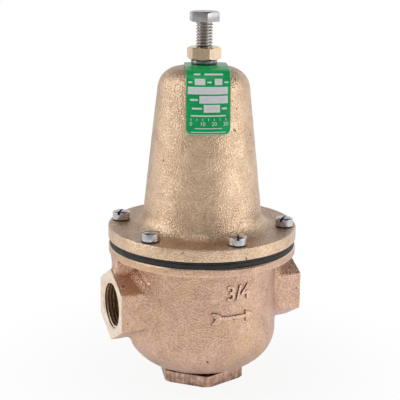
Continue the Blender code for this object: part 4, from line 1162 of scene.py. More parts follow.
def cage_outside(row):
    """The rough outside from the rim to the crown, with a point about every `row` metres."""
    lower, upper = RIM_ROUNDS
    edge = FLANGE_RADIUS - CAGE_RIM_INSET
    rim = arc((edge - lower, CAGE_BOTTOM + lower), lower, -90, 0, 4)
    rim += between((edge, CAGE_BOTTOM + lower), (edge, CAGE_FLANGE_TOP - upper), 6)
    rim += arc((edge - upper, CAGE_FLANGE_TOP - upper), upper, 0, 90, 5)
    lean = cage_lean()
    foot_centre = (
        CAGE_FOOT_RADIUS + CAGE_FOOT_ROUND * (math.hypot(1, lean) - lean), CAGE_FLANGE_TOP + CAGE_FOOT_ROUND,
    )
    foot = arc(foot_centre, CAGE_FOOT_ROUND, 270, 180 + math.degrees(math.atan(lean)), 14)
    shoulder = shoulder_arc(0, 18)
    land = between(rim[-1], foot[0], round((rim[-1][0] - foot[0][0]) / row))
    cone = between(foot[-1], shoulder[0], round((shoulder[0][1] - foot[-1][1]) / row))
    return rim + land + foot + cone + shoulder + between(shoulder[-1], (CAGE_CROWN_RADIUS, CROWN), 6)


def cage_inside():
    """The threaded boss, the ceiling round it and the bell's wall, from the crown down to the joint."""
    wall, length = CAGE_BOSS
    boss_bottom, boss_radius = CROWN - length, SCREW_HOLE + wall
    ceiling = shoulder_arc(-CAGE_WALL, 10)
    inside = [(CAGE_CROWN_RADIUS, CROWN), (SCREW_HOLE + HOLE_BREAK, CROWN), (SCREW_HOLE, CROWN - HOLE_BREAK)]
    inside += [(SCREW_HOLE, boss_bottom), (boss_radius, boss_bottom), (boss_radius, ceiling[-1][1])]
    inside += ceiling[::-1] + [(CAGE_FOOT_RADIUS - CAGE_WALL, CAGE_FLANGE_TOP)]
    return inside + [(CHAMBER_RADIUS, CAGE_BOTTOM + CAGE_WALL), (CHAMBER_RADIUS, CAGE_BOTTOM)]


cage_outline = cage_outside(1.0 * MM) + cage_inside()
print("the cage is turned from", len(cage_outline), "points")

# %% The bell


def cage_noise(point):
    """Full noise on the cone, a quarter on the flange's rim, none at the crown or at the joint."""
    if point.z < CAGE_FLANGE_TOP - 0.2 * MM:
        return 0.25 if point.z > CAGE_BOTTOM + MM else 0.0
    return min(1.0, max(0.0, (CROWN - point.z) / (3 * MM)))


cage = make_object("bell_casting", turned(cage_outline, 224), CAGE_SKIN)
roughen(cage, depth=0.10 * MM, size=7 * MM, keep=cage_noise)
roughen(cage, depth=0.05 * MM, size=2.2 * MM, keep=cage_noise)
cage_drills = joined(*bolt_drills(CAGE_BOTTOM - PARTITION, CAGE_FLANGE_TOP + PARTITION))
carve(cage, ("DIFFERENCE", cage_drills, CUT_BRONZE))
shade(cage, 40)
seat(cage, "root", "cage_bronze", "spring_cage")

# %% [markdown]
# ## Diaphragm and gasket
#
# Between the flanges a dark band shows: the rim of the rubber diaphragm and, on top of it, a thin
# gasket. Clamped rubber swells out unevenly between the bolts, so the rim's radius wavers a little.
# The middle of the diaphragm moves with the valve and its rim does not.

# %% Sizes of the diaphragm
RUBBER_THICKNESS = 2.2 * MM
RUBBER_ROUND = 0.5 * MM
RUBBER_INSET = 0.7 * MM
STEM_HOLE = 4.3 * MM
PLATE_RADIUS = CHAMBER_RADIUS - 12 * MM
CLAMP_RADIUS = CHAMBER_RADIUS + 0.3 * MM
SEAM = 0.08 * MM
rim_low, rim_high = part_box("diaphragm")
gasket_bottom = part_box("diaphragm_gasket")[0].z
print(f"clamped beyond {1000 * CLAMP_RADIUS:.1f} mm, free down to {1000 * PLATE_RADIUS:.1f} mm")

# %% Diaphragm


def diaphragm_outline():
    """A flat middle, a convolution that climbs in one smooth sweep, and a flat rim."""
    middle = PLATE_RADIUS + 0.3 * MM
    low, high = rim_low.z, rim_high.z - RUBBER_THICKNESS
    sweep = []
    for step in range(11):
        share = step / 10
        smooth = share**2 * (3 - 2 * share)
        sweep.append((middle + (CLAMP_RADIUS - middle) * share, low + (high - low) * smooth))
    flat, corner = CLAMP_RADIUS + 0.5 * MM, FLANGE_RADIUS - RUBBER_INSET - RUBBER_ROUND
    bottom, top = BODY_TOP + SEAM, gasket_bottom - SEAM
    under = [(STEM_HOLE, low)] + sweep + [(flat, bottom), (corner, bottom)]
    under += arc((corner, bottom + RUBBER_ROUND), RUBBER_ROUND, -90, 0, 4)[1:]
    over = arc((corner, top - RUBBER_ROUND), RUBBER_ROUND, 0, 90, 4) + [(flat, top)]
    over += [(radius, height + RUBBER_THICKNESS) for radius, height in reversed(sweep)]
    return under + over + [(STEM_HOLE, low + RUBBER_THICKNESS)]


def only_outside(point):
    """Noise for the part of a rim that shows between the flanges."""
    return 1.0 if math.hypot(point.x, point.y) > FLANGE_RADIUS - 1.5 * MM else 0.0


diaphragm = make_object("rubber_diaphragm", turned(diaphragm_outline(), 180), RUBBER)
roughen(diaphragm, depth=0.22 * MM, size=8 * MM, keep=only_outside)
carve(diaphragm, ("DIFFERENCE", joined(*bolt_drills(rim_low.z, CAGE_BOTTOM)), RUBBER))
shade(diaphragm, 35)
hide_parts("diaphragm")
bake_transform(diaphragm)

# %% Gasket
gasket_edge = FLANGE_RADIUS - 0.5 * MM
gasket_top = CAGE_BOTTOM - SEAM
gasket_ring = [
    (CLAMP_RADIUS, gasket_bottom), (gasket_edge - 0.2 * MM, gasket_bottom),
    (gasket_edge, gasket_bottom + 0.3 * MM), (gasket_edge, gasket_top - 0.3 * MM),
    (gasket_edge - 0.2 * MM, gasket_top), (CLAMP_RADIUS, gasket_top),
]
gasket = make_object("flange_gasket", turned(gasket_ring, 180), RUBBER)
roughen(gasket, depth=0.2 * MM, size=5 * MM, keep=only_outside)
carve(gasket, ("DIFFERENCE", joined(*bolt_drills(rim_low.z, CAGE_BOTTOM + PARTITION)), RUBBER))
seat(gasket, "root", "rubber", "diaphragm_gasket")

# %% [markdown]
# ## Cage screws
#
# Six slotted screws with tall round heads, which fitters call fillister heads, hold the flanges
# together. One function turns the head and cuts its slot, and another adds the threaded shank. Each
# screw stands where its own solid stands, and its slot points wherever the screwdriver left it.

# %% A slotted head
SCREW_HEAD = 4.8 * MM
SCREW_HEAD_HEIGHT = 4.3 * MM
SCREW_CROWN = 0.8 * MM
SCREW_ROUND = 0.35 * MM
SLOT_WIDTH, SLOT_DEPTH = 1.3 * MM, 2.0 * MM


def slotted_head(name, seat_height, high, slot_turn):
    """A round head with a low crown and a slot across it."""
    shoulder = high - SCREW_CROWN
    sphere = (SCREW_HEAD**2 + SCREW_CROWN**2) / (2 * SCREW_CROWN)
    spread = math.degrees(math.asin((SCREW_HEAD - SCREW_ROUND) / sphere))
    head = [(0, seat_height), (SCREW_HEAD - 0.5 * MM, seat_height), (SCREW_HEAD, seat_height + 0.4 * MM)]
    head += arc((SCREW_HEAD - SCREW_ROUND, shoulder - SCREW_ROUND), SCREW_ROUND, 0, 90 - spread, 4)
    head += arc((0, high - sphere), sphere, 90 - spread, 90, 7)[1:]
    made = make_object(name, turned(head, 48), SCREW_STEEL)
    half, reach = SLOT_WIDTH / 2, 2 * SCREW_HEAD
    slot = block((-half, -reach, high - SLOT_DEPTH), (half, reach, high + SLOT_DEPTH))
    carve(made, ("DIFFERENCE", placed(slot, Matrix.Rotation(slot_turn, 4, "Z")), SHADED_SLOT_STEEL))
    return made


print(f"a head is {2000 * SCREW_HEAD:.1f} mm across and {1000 * SCREW_HEAD_HEIGHT:.1f} mm tall")

# %% One slotted screw
CREST, THREAD_DEPTH, THREAD_PITCH = 3.05 * MM, 0.5 * MM, 1.27 * MM


def slotted_screw(name, low, high, slot_turn):
    """A screw between two heights, on the origin's axis."""
    seat_height = high - SCREW_CROWN - SCREW_HEAD_HEIGHT
    screw = slotted_head(name, seat_height, high, slot_turn)
    root = CREST - THREAD_DEPTH
    foot, top = low + THREAD_PITCH, seat_height + MM
    core = turned([(0, foot), (root, foot), (root, top), (0, top)], 24)
    length = seat_height - low + 0.5 * MM - 2 * THREAD_PITCH
    rod = threaded_rod(CREST, THREAD_DEPTH, THREAD_PITCH, length, 24)
    shank = placed(rod, Matrix.Translation((0, 0, low)))
    carve(screw, ("UNION", core, SCREW_STEEL), ("UNION", shank, SCREW_STEEL))
    return screw


print(f"the cage screws' thread has a pitch of {1000 * THREAD_PITCH:.2f} mm")

# %% All of the cage screws
SLOT_TURNS = (-21, -48, 25, 70, -38, 75)

for number in range(SCREW_COUNT):
    node = f"cage_screw_{number + 1}"
    low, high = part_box(node)
    screw = slotted_screw(f"slotted_screw_{number + 1}", low.z, high.z, math.radians(SLOT_TURNS[number]))
    screw.data.transform(on_bolt_circle(number))
    shade(screw, 35)
    seat(screw, "root", "stainless", node)

# %% [markdown]
# ## Bottom plug
#
# The plug closes the hole that the seat was fitted through. It is a low hexagon with its lower
# corners turned off, then a thread, then a boss that guides the moving valve. A copper ring seals
# it. A narrow bevel on every edge matters more than it seems: it is what catches the light.

# %% The plug's hexagon
PLUG_FLATS = 43.4 * MM
PLUG_HEX = 6.4 * MM
PLUG_TURN = math.radians(-14)
PLUG_CORNER_CUT = 1.2 * MM
HEX_CHAMFER = math.tan(math.radians(28))


def bevelled(mesh, width, segments=2):
    """Breaks every edge of a plain mesh."""
    edges = list(mesh.edges)
    bmesh.ops.bevel(mesh, geom=edges, offset=width, segments=segments, profile=0.5, affect="EDGES")
    return mesh


def plug_hexagon():
    """The hexagon with its lower corners turned off."""
    corner, top = corner_radius(PLUG_FLATS) + 0.1 * MM, PLUG_HEX + MM
    land = corner - PLUG_CORNER_CUT
    flats = prism(hexagon(PLUG_FLATS, PLUG_TURN), -MM, PLUG_HEX)
    made = make_object("closing_plug", bevelled(flats, 0.2 * MM), PLUG_BRONZE)
    chamfer = PLUG_CORNER_CUT * HEX_CHAMFER
    lower = [(0, 0), (land - 0.3 * MM, 0), (land, 0.1 * MM), (corner, chamfer)]
    carve(made, ("INTERSECT", turned(lower + [(corner, top), (0, top)], 120), PLUG_BRONZE))
    return made


plug = plug_hexagon()
print("the plug's hexagon has", len(plug.data.vertices), "points")

# %% Its thread, boss and bore
PLUG_CREST, PLUG_DEPTH, PLUG_PITCH = 16.9 * MM, 0.9 * MM, 2.2 * MM
PLUG_BOSS = 9.8 * MM
PLUG_BOSS_BREAK = 0.5 * MM
plug_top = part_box("bottom_plug")[1].z
guide_low, guide_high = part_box("stem_guide")


def plug_boss():
    """The boss that holds the guide, with a bevel round its top."""
    low, edge = PLUG_HEX - MM, plug_top - PLUG_BOSS_BREAK
    top = [(PLUG_BOSS - PLUG_BOSS_BREAK, plug_top), (0, plug_top)]
    return turned([(0, low), (PLUG_BOSS, low), (PLUG_BOSS, edge)] + top, 48)


start = PLUG_HEX - PLUG_PITCH
thread = threaded_rod(PLUG_CREST, PLUG_DEPTH, PLUG_PITCH, BOSS_TOP - start - PLUG_PITCH, 48)
bore = drill(guide_high.x + 0.3 * MM, guide_low.z - 0.3 * MM, plug_top + MM, 36)
carve(
    plug,
    ("UNION", drill(PLUG_CREST - PLUG_DEPTH, start, BOSS_TOP - 1.5 * PLUG_PITCH, 48), PLUG_BRONZE),
    ("UNION", placed(thread, Matrix.Translation((0, 0, start))), PLUG_BRONZE),
    ("UNION", plug_boss(), PLUG_BRONZE),
    ("DIFFERENCE", bore, CUT_BRONZE),
)
shade(plug, 30)
seat(plug, "root", "plug_bronze", "bottom_plug")

# %% Its gasket
ring_low, ring_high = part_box("bottom_plug_gasket")
ring = [
    (PLUG_HOLE, ring_low.z), (ring_high.x, ring_low.z), (ring_high.x, ring_high.z), (PLUG_HOLE, ring_high.z),
]
copper_ring = make_object("copper_ring", bevelled(turned(ring, 96), 0.15 * MM), COPPER)
seat(copper_ring, "root", "copper", "bottom_plug_gasket")

# %% [markdown]
# ## Adjusting screw, lock nut and washer
#
# The screw on top presses on the spring. Its hexagon head is chamfered on its upper side only, and
# its coarse thread shows for more than a centimetre above a brass lock nut. The nut is chamfered at
# both ends, and the spring washer below it is a ring cut through at a slant.

# %% Chamfered hexagons


def chamfered_hexagon(name, flats, low, high, turn, finish, both_ends):
    """A hexagon whose corners are turned down at the top, and at the bottom too for both ends."""
    broken, corner, land = 0.12 * MM, corner_radius(flats) + 0.1 * MM, flats / 2 - 0.3 * MM
    chamfer = (corner - land) * HEX_CHAMFER
    over, under = high + MM, low - MM if both_ends else low
    made = make_object(name, bevelled(prism(hexagon(flats, turn), under, over), broken), finish)
    envelope = [(0, low), (land - broken, low), (land, low + broken / 3), (corner, low + chamfer)]
    if not both_ends:
        envelope = [(0, low - MM), (corner, low - MM)]
    envelope += [(corner, high - chamfer), (land, high - broken / 3), (land - broken, high), (0, high)]
    carve(made, ("INTERSECT", turned(envelope, 96), finish))
    return made


print("hexagons can be chamfered at one end or both")

# %% Adjusting screw
HEAD_FLATS = 14.47 * MM
HEAD_HEIGHT = 5.2 * MM
HEAD_TURN = math.radians(-12.8)
SCREW_PITCH = 1.5875 * MM
SCREW_DEPTH = 0.92 * MM
TIP_BEVEL = 1.2 * MM
screw_low, screw_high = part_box("adjusting_screw")
head_low = screw_high.z - HEAD_HEIGHT


def trimmed_thread():
    """The screw's thread, with its tip turned to a cone and its upper end inside the head."""
    length = head_low - screw_low.z + 2 * SCREW_PITCH
    rod = threaded_rod(SCREW_RADIUS, SCREW_DEPTH, SCREW_PITCH, length, 48)
    start = Matrix.Translation((0, 0, screw_low.z - SCREW_PITCH))
    thread = make_object("thread", placed(rod, start), THREAD_STEEL)
    tip, wide, top = SCREW_RADIUS - TIP_BEVEL, SCREW_RADIUS + 0.1 * MM, head_low + HEAD_HEIGHT / 2
    limits = [(0, screw_low.z), (tip, screw_low.z), (wide, screw_low.z + 1.3 * MM), (wide, top), (0, top)]
    carve(thread, ("INTERSECT", turned(limits, 48), THREAD_STEEL))
    shape = bmesh.new()
    shape.from_mesh(thread.data)
    bpy.data.objects.remove(thread)
    return shape


screw = chamfered_hexagon("set_screw", HEAD_FLATS, head_low, screw_high.z, HEAD_TURN, HEAD_STEEL, False)
carve(screw, ("UNION", trimmed_thread(), THREAD_STEEL))
shade(screw, 28)
seat(screw, "screw", "stainless", "adjusting_screw")

# %% Lock nut
NUT_FLATS = 16.1 * MM
NUT_TURN = math.radians(-5)
nut_low, nut_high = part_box("lock_nut")


def nut_bore():
    """The hole through the nut, wider at both mouths."""
    low, high, mouth, hole = nut_low.z, nut_high.z, SCREW_RADIUS + 0.5 * MM, SCREW_RADIUS + 0.12 * MM
    lower = [(0, low - MM), (mouth, low - MM), (mouth, low), (hole, low + 0.5 * MM)]
    upper = [(hole, high - 0.5 * MM), (mouth, high), (mouth, high + MM), (0, high + MM)]
    return turned(lower + upper, 48)


nut = chamfered_hexagon("brass_nut", NUT_FLATS, nut_low.z, nut_high.z, NUT_TURN, NUT_BRASS, True)
carve(nut, ("DIFFERENCE", nut_bore(), NUT_BRASS))
shade(nut, 28)
seat(nut, "nut", "brass", "lock_nut")
print(f"{1000 * (head_low - nut_high.z):.1f} mm of thread show above the nut")

# %% Spring washer
WASHER_GAP = 1.1 * MM
GAP_TURN = math.radians(66)
washer_low, washer_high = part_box("lock_washer")


def make_spring_washer():
    """A flat ring, cut through at a slant."""
    inner, outer = SCREW_HOLE, washer_high.x - 0.02 * MM
    low, high = washer_low.z, washer_high.z
    section = [(inner, low), (outer, low), (outer, high), (inner, high)]
    washer = make_object("spring_washer", bevelled(turned(section, 64), 0.15 * MM), SHADOWED_WASHER_STEEL)
    thick, half = high - low, WASHER_GAP / 2
    slant = [(-half - thick, -thick), (half - thick, -thick), (half + thick, thick), (thick - half, thick)]
    way = Matrix.Rotation(GAP_TURN, 4, "Z") @ Matrix.Translation((0, 0, (low + high) / 2))
    saw = placed(prism(slant, 0, 2 * outer), way @ Matrix.Rotation(math.pi / 2, 4, "X"))
    carve(washer, ("DIFFERENCE", saw, SHADOWED_WASHER_STEEL))
    shade(washer, 30)
    return washer


seat(make_spring_washer(), "washer", "stainless", "lock_washer")

# %% [markdown]
# ## The tag
#
# A thin painted tag is clamped under the washer and bent down over the shoulder. It is a sheet, so
# it is made as one: a grid of points on the cage's own profile, lifted by the sheet's thickness.
# Any point of the tag is found from how far it is across and how high it is, and the print uses the
# same function, so that its panels and figures bend with the metal. The print is plain: blank
# panels, ruled lines and a scale with numbers, which is all that a general tag needs.

# %% Sizes of the tag
TAG_THICKNESS = 0.4 * MM
TAG_WIDTH = 23 * MM
TAG_BACK = 7.8 * MM
TAG_DROP = 32.9 * MM
TAG_CORNER = 2.8 * MM
TAG_TURN = math.radians(-20.0)
TAG_WRAP = 0.85
TAG_TAPER = 0.1 * MM
TAG_SHIFT = 0.9 * MM
TAG_GAP = 0.3 * MM
TAG_FOOT = CROWN + TAG_GAP - TAG_DROP
SHOULDER_TOP = shoulder_arc(0, 1)[1][1]
SHOULDER_LOW = shoulder_arc(0, 1)[0][1]
print(f"the tag ends {1000 * TAG_FOOT:.1f} mm up and bends above {1000 * SHOULDER_LOW:.1f} mm")

# %% Any point of the tag


def tag_path(offset):
    """The tag's line from behind the screw, over the shoulder and down the cone, as (forward, height)."""
    level = CROWN + offset
    path = [(-TAG_BACK + TAG_CORNER * step / 4, level) for step in range(5)]
    path += between(path[-1], (CAGE_CROWN_RADIUS, level), 10) + [(CAGE_CROWN_RADIUS, level)]
    path += shoulder_arc(offset, 16)[::-1]
    radius, height = path[-1]
    length = TAG_DROP - (level - height)
    drops = [(length - TAG_CORNER) * step / 14 for step in range(1, 15)]
    drops += [length - TAG_CORNER * step / 6 for step in (5, 4, 3, 2, 1, 0)]
    return path + [(radius + drop * cage_lean(), height - drop) for drop in drops]


def tag_point(forward, height, across):
    """A point of the tag: on its line in the middle, and bent round the cage to the sides."""
    across += TAG_SHIFT
    sag = forward - math.sqrt(forward**2 - across**2) if forward > TAG_WIDTH / 2 + TAG_SHIFT else 0
    return Vector((across, TAG_WRAP * turned_down(height) * sag - forward, height))


def turned_down(height):
    """From 0 on the flat crown to 1 where the tag hangs along the cone."""
    return min(max((SHOULDER_TOP - height) / (SHOULDER_TOP - SHOULDER_LOW), 0), 1)


print("the tag's line has", len(tag_path(TAG_GAP)), "points")

# %% The sheet


def tag_sheet(offset, columns):
    """Rows of points on one face of the tag, drawn in at its rounded corners."""
    path = tag_path(offset)
    run = [0.0]
    for here, there in zip(path, path[1:]):
        run.append(run[-1] + math.dist(here, there))
    shares = [math.sin(math.pi / 2 * (2 * step / columns - 1)) for step in range(columns + 1)]
    rows = []
    for place, (forward, height) in enumerate(path):
        inset = max(TAG_CORNER - min(run[place], run[-1] - run[place]), 0)
        half = TAG_WIDTH / 2 - TAG_CORNER + math.sqrt(TAG_CORNER**2 - inset**2)
        half -= TAG_TAPER * (1 - turned_down(height))
        rows.append([tag_point(forward, height, half * share) for share in shares])
    return rows


def edge_of(rows):
    """The points round the edge of a sheet that is given as rows."""
    right = [row[-1] for row in rows[1:-1]]
    left = [row[0] for row in rows[-2:0:-1]]
    return rows[0] + right + rows[-1][::-1] + left


def tag_mesh(columns=30):
    """Two faces of the sheet and the narrow edge that closes them."""
    mesh = bmesh.new()
    sheets = [tag_sheet(lift, columns) for lift in (TAG_GAP, TAG_GAP + TAG_THICKNESS)]
    faces = [[[mesh.verts.new(point) for point in row] for row in sheet] for sheet in sheets]
    for rows in faces:
        for here, there in zip(rows, rows[1:]):
            for step in range(columns):
                mesh.faces.new((here[step], here[step + 1], there[step + 1], there[step]))
    inner, outer = edge_of(faces[0]), edge_of(faces[1])
    for place in range(len(inner)):
        after = (place + 1) % len(inner)
        mesh.faces.new((inner[place], inner[after], outer[after], outer[place]))
    bmesh.ops.recalc_face_normals(mesh, faces=mesh.faces)
    return mesh


tag = make_object("green_tag", tag_mesh(), TAG_PAINT)
carve(tag, ("DIFFERENCE", drill(SCREW_HOLE + TAG_GAP, CROWN - MM, CROWN + 3 * MM, 48), STAINLESS))
tag.data.transform(Matrix.Rotation(TAG_TURN, 4, "Z"))
shade(tag, 35)
seat(tag, "root", "tag_green", "name_tag")

# %% Print that bends with the tag
INK = 0.05 * MM


def printed_point(across, height, lift):
    """The place of print on the tag's front, at a height and that far above the paint."""
    offset = TAG_GAP + TAG_THICKNESS + lift
    radius, centre = shoulder_centre()
    reach = CAGE_SHOULDER_ROUND + offset
    if height > SHOULDER_LOW:
        forward = radius + math.sqrt(max(reach**2 - (height - centre) ** 2, 0))
    else:
        low_radius, low_height = shoulder_arc(offset, 1)[0]
        forward = low_radius + (low_height - height) * cage_lean()
    return tag_point(forward, height, across)


def bent_print(mesh):
    """Bends a flat print, drawn across and up in X and Y with its ink along Z, onto the tag."""
    for vertex in mesh.verts:
        across, up, lift = vertex.co
        vertex.co = printed_point(across, TAG_FOOT + up, lift)
    return placed(mesh, Matrix.Rotation(TAG_TURN, 4, "Z"))


print(f"the print stands {1e6 * INK:.0f} microns above the paint")

# %% Panels and figures


def panel(left, right, low, high, lift=INK):
    """A printed rectangle, with enough points to bend."""
    width, height = right - left, high - low
    columns, rows = max(2, round(width / MM)), max(2, round(height / MM))
    mesh = bmesh.new()
    bmesh.ops.create_grid(mesh, x_segments=columns, y_segments=rows, size=0.5)
    for vertex in mesh.verts:
        x, y, _ = vertex.co
        vertex.co = (left + (x + 0.5) * width, low + (y + 0.5) * height, -INK)
    raised = bmesh.ops.extrude_face_region(mesh, geom=list(mesh.faces))["geom"]
    moved = [piece for piece in raised if isinstance(piece, bmesh.types.BMVert)]
    bmesh.ops.translate(mesh, verts=moved, vec=(0, 0, INK + lift))
    bmesh.ops.recalc_face_normals(mesh, faces=mesh.faces)
    return mesh


def figures(text, middle, low, height):
    """Plain figures as a flat print."""
    return placed(drawn_text(text, 1.4 * height, 2 * INK), Matrix.Translation((middle, low, 0)))


def seat_print(name, finish, *shapes):
    """Bends flat shapes onto the tag as one printed piece."""
    made = make_object(name, joined(*[bent_print(shape) for shape in shapes]), finish, 20)
    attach(made, "root")
    print(f"{name}: {len(shapes)} shapes")


def panels(marks, lift=INK):
    """Panels from (left, right, low, high) in millimetres."""
    return [panel(*[edge * MM for edge in mark], lift=lift) for mark in marks]


print("print can be bent onto the tag")

# %% What is printed on the tag
white_marks = [
    (-7.1, -1.7, 25.5, 28.5), (3.2, 7.1, 25.5, 28.5), (-10.6, 10.0, 20.9, 24.6), (-4.7, 10.0, 16.3, 20.1),
    (-2.5, 5.9, 11.7, 15.6),
]
thin_marks = [
    (-7.4, -4.0, 30.0, 30.8), (-2.0, 7.6, 30.0, 30.8), (-10.4, -8.3, 26.4, 27.2), (-0.6, 1.6, 26.4, 27.2),
    (8.2, 10.2, 26.4, 27.2), (-9.5, -5.5, 17.6, 18.5), (-8.5, -3.4, 13.2, 14.1), (6.8, 9.5, 13.2, 14.1),
    (-9.0, 9.0, 9.6, 10.3), (-7.0, 7.0, 3.3, 3.7), (-9.0, 9.0, 1.4, 1.8),
]
grey_marks = [(-9.9, 9.3, 21.5, 24.0), (-4.0, 9.3, 16.9, 19.5)]
scale_ticks = [(3.0 * step - 9.15, 3.0 * step - 8.85, 7.4, 8.6) for step in range(7)]
scale_numbers = [figures(str(10 * step), (6.0 * step - 9.0) * MM, 4.9 * MM, 2.0 * MM) for step in range(4)]
seat_print("white_print", PRINT_WHITE, *panels(white_marks + thin_marks + scale_ticks), *scale_numbers)
seat_print("grey_print", PRINT_GREY, *panels(grey_marks, lift=2 * INK))

# %% [markdown]
# ## The range spring
#
# The spring is seen only when the cage is off. Its bottom rests on the valve and its top on the
# button that the screw pushes. The coil is made as two halves that meet in the middle.

# %% Two halves of a coil
WIRE = 5 * MM
COIL_TURNS = 7.8
END_TURNS = 0.9
END_PITCH = 5.3 * MM
spring_low, spring_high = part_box("range_spring")


def coil_height(turn):
    """The height of the wire's middle after some turns, with closed coils at both ends."""
    rise = spring_high.z - spring_low.z - WIRE - 2 * END_TURNS * END_PITCH
    active = COIL_TURNS - 2 * END_TURNS
    closed = min(turn, END_TURNS) + max(turn - END_TURNS - active, 0)
    opened = min(max(turn - END_TURNS, 0), active)
    return spring_low.z + WIRE / 2 + closed * END_PITCH + opened * rise / active


def half_coil(name, first, last, steps=40):
    """A length of the coil, from one turn to another."""
    mean = spring_high.x - WIRE / 2
    turns = [min(first + step / steps, last) for step in range(round((last - first) * steps) + 1)]
    outwards = [Vector((math.cos(TURN * turn), math.sin(TURN * turn), 0)) for turn in turns]
    centres = [mean * outward + Vector((0, 0, coil_height(turn))) for turn, outward in zip(turns, outwards)]
    wire = tube(centres, outwards, Vector((0, 0, 1)), WIRE / 2, 14, closed=False)
    coil = make_object(name, wire, SPRING_STEEL)
    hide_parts("range_spring")
    return coil


middle_turn = COIL_TURNS / 2
lower_coil = half_coil("lower_coil", 0, middle_turn)
upper_coil = half_coil("upper_coil", middle_turn, COIL_TURNS)
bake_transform(lower_coil)
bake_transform(upper_coil)

# %% [markdown]
# ## Pieces that keep their solid shape
#
# The seat, the moving valve and the spring's plates are plain turned parts, and their solids have
# the right shape already. They only need their metals.

# %% Finishes for the inner pieces
INNER_FINISHES = {
    "stem_guide": STAINLESS, "seat_ring": STAINLESS, "seat_gasket": FIBRE, "disc_holder": NUT_BRASS,
    "valve_disc": RUBBER, "disc_retainer": STAINLESS, "valve_stem": STAINLESS, "stem_washer": STAINLESS,
    "stem_nut": STAINLESS, "diaphragm_plate": PLATED_STEEL, "spring_plate": PLATED_STEEL,
    "spring_button": PLATED_STEEL,
}
for node, finish in INNER_FINISHES.items():
    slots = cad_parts[node].data.materials
    slots.clear()
    slots.append(finish)
print("finished", len(INNER_FINISHES), "inner pieces")

# %% [markdown]
# ## Camera
#
# The camera stands a little above the valve and to its left, six tenths of a metre away, with a lens
# long enough to keep the hexagon faces and the bell nearly true. Its direction is built from three
# axes: away into the scene, across the frame and up the frame, which lean by less than a degree.

# %% Camera
CAMERA_AT = Vector((-225.85, -512.2, 245.65)) * MM
LOOK_TURN = 0.41302
LOOK_DOWN = 0.25381
LEAN = 0.01207
FOCAL_LENGTH = 94.87


def place_camera():
    """Stands the camera at its point, turned along the three axes."""
    back = Vector((-math.sin(LOOK_TURN), -math.cos(LOOK_TURN), 0))
    side = Vector((math.cos(LOOK_TURN), -math.sin(LOOK_TURN), 0))
    straight_up = Vector((0, 0, 1))
    rise = straight_up * math.cos(LOOK_DOWN) - back * math.sin(LOOK_DOWN)
    away = -back * math.cos(LOOK_DOWN) - straight_up * math.sin(LOOK_DOWN)
    across = side * math.cos(LEAN) + rise * math.sin(LEAN)
    upward = rise * math.cos(LEAN) - side * math.sin(LEAN)
    lens = bpy.data.cameras.new("camera")
    lens.lens = FOCAL_LENGTH
    lens.sensor_width = 36
    camera = bpy.data.objects.new("camera", lens)
    bpy.context.scene.collection.objects.link(camera)
    turn = Matrix((across, upward, -away)).transposed()
    camera.matrix_world = Matrix.Translation(CAMERA_AT) @ turn.to_4x4()
    bpy.context.scene.camera = camera


place_camera()
print(f"the camera is {CAMERA_AT.length:.2f} m from the foot of the valve")

# %% [markdown]
# ## A white floor
#
# The valve stands on pure white. Brighter lamps would wash the bronze out, so the floor glows
# instead, and only for rays that come from the camera or from a mirror-like surface. Metal sees it
# glow behind, to the right, far to the left and just around the valve. In front and at the front
# left it stays grey, which gives the metal its darker half. Near the foot a little of the plain
# paint shows through, which keeps the contact shadow.

# %% Where metal sees the floor glow
floor_paint = bpy.data.materials.new("floor_paint")
floor_paint.use_nodes = True
tree = floor_paint.node_tree
place = add_node(tree, "ShaderNodeTexCoord").outputs["Object"]
from_foot = add_node(tree, "ShaderNodeVectorMath", {0: place}, operation="LENGTH").outputs["Value"]
along = add_node(tree, "ShaderNodeSeparateXYZ", {0: place}).outputs
behind = ramp(tree, along["Y"], -0.3, 0.0, 0.0, 0.6)
right = ramp(tree, along["X"], -0.05, 0.3, 0.0, 0.95)
far_left = ramp(tree, along["X"], -0.25, -0.6, 0.0, 0.6)
far_left = maths(tree, "MULTIPLY", far_left, ramp(tree, along["Y"], -0.42, -0.3))
around = ramp(tree, from_foot, 0.47, 0.33)
lit_part = behind
for region in (right, far_left, around):
    lit_part = maths(tree, "MAXIMUM", lit_part, region)
# The glow is dimmed near the foot, a painted shadow that metal sees in its reflection of the floor.
lit_part = maths(tree, "MULTIPLY", lit_part, ramp(tree, from_foot, 0.03, 0.07, 0.55, 1.0))
print("the floor glows in four regions")

# %% Glow and paint
rays = add_node(tree, "ShaderNodeLightPath").outputs
white_part = maths(tree, "MAXIMUM", lit_part, rays["Is Camera Ray"])
glow_colour = blend_colours(tree, white_part, (0.385, 0.375, 0.365), (1.0, 1.0, 1.0))
glow = add_node(tree, "ShaderNodeEmission", {"Color": glow_colour, "Strength": 1.0})
paint = tree.nodes["Principled BSDF"]
paint.inputs["Base Color"].default_value = (0.95, 0.95, 0.95, 1)
paint.inputs["Roughness"].default_value = 0.9
near_foot = {"Value": from_foot, "From Min": 0.03, "From Max": 0.16, "To Min": 0.9, "To Max": 1.0}
share = add_node(tree, "ShaderNodeMapRange", near_foot, interpolation_type="SMOOTHSTEP").outputs["Result"]
seen = maths(tree, "MAXIMUM", rays["Is Camera Ray"], rays["Is Glossy Ray"])
glowing = maths(tree, "MULTIPLY", seen, share)
mixed = add_node(tree, "ShaderNodeMixShader", {0: glowing, 1: paint.outputs[0], 2: glow.outputs[0]})
tree.links.new(mixed.outputs[0], tree.nodes["Material Output"].inputs["Surface"])
floor = make_object("floor", prism([(-3, -3), (3, -3), (3, 3), (-3, 3)], -0.01, 0), floor_paint)
floor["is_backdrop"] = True
print(f"the floor is {floor.dimensions.x:.0f} m wide")

# %% [markdown]
# ## The studio around it
#
# Metal is only as good as what it reflects. The world is bright behind and on the right, dim in
# front and on the left, and dark overhead. The camera itself sees plain white.

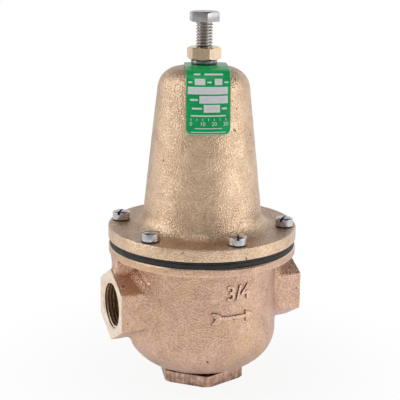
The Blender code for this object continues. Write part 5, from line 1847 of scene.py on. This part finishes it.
# %% World
world = bpy.data.worlds.new("studio")
bpy.context.scene.world = world
world.use_nodes = True
tree = world.node_tree
direction = add_node(tree, "ShaderNodeTexCoord").outputs["Generated"]
parts = add_node(tree, "ShaderNodeSeparateXYZ", {0: direction}).outputs
sweep = maths(tree, "MAXIMUM", ramp(tree, parts["Y"], -0.1, 0.45, 0.0, 0.6), ramp(tree, parts["X"], 0.2, 0.7))
ceiling = ramp(tree, parts["Z"], 0.35, 0.75, 1.0, 0.3)
room = blend_colours(tree, maths(tree, "MULTIPLY", sweep, ceiling), (0.46, 0.45, 0.45), (1.0, 1.0, 1.0))
room = blend_colours(tree, ramp(tree, parts["Z"], 0.5, 0.8), room, (0.07, 0.065, 0.065))
to_camera = add_node(tree, "ShaderNodeLightPath").outputs["Is Camera Ray"]
seen_room = blend_colours(tree, to_camera, room, (1, 1, 1))
tree.links.new(seen_room, tree.nodes["Background"].inputs["Color"])
print("the studio is bright behind, dim in front and dark overhead")

# %% [markdown]
# ## Softboxes
#
# Three soft lamps are turned towards the middle of the valve. The left one is the strongest and
# gives the castings their broad bright side. The right one adds a second band along the bell, and
# a small one overhead puts a glint on the rounded shoulder and the tops of the screws.

# %% Softboxes


def softbox(name, azimuth, elevation, distance, width, height, power):
    """A rectangular lamp at a bearing from the front, aimed at the middle of the valve."""
    lamp = bpy.data.lights.new(name, "AREA")
    lamp.shape = "RECTANGLE"
    lamp.size = width
    lamp.size_y = height
    lamp.energy = power
    box = bpy.data.objects.new(name, lamp)
    bpy.context.scene.collection.objects.link(box)
    bearing, lift = math.radians(azimuth), math.radians(elevation)
    level = Vector((math.sin(bearing), -math.cos(bearing), 0))
    outward = level * math.cos(lift) + Vector((0, 0, math.sin(lift)))
    box.location = Vector((0, 0, 0.1)) + distance * outward
    box.rotation_euler = outward.to_track_quat("Z", "Y").to_euler()
    print(f"{name}: {1000 * width:.0f} x {1000 * height:.0f} mm, {power} W")


softbox("right_softbox", 46, 12, 0.8, 0.45, 0.6, 0.75)
softbox("left_softbox", -106, 30, 0.9, 0.45, 1.1, 2.2)
softbox("top_softbox", -30, 80, 0.8, 0.3, 0.3, 0.5)
bpy.context.scene.view_settings.view_transform = "Standard"

# %% [markdown]
# ## The size it comes out at
#
# The dressed valve replaces the solids, so its box and theirs are both worked out. The dressed valve
# has to stay inside the box of the solids it replaces. Both are printed, in millimetres.

# %% Sizes and finish
visual_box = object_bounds()
boxes = {"cad": cad_box, "visual": visual_box}
for name, (low, high) in boxes.items():
    print(name, "box:", " x ".join(f"{1000 * (high[axis] - low[axis]):.1f}" for axis in range(3)), "mm")
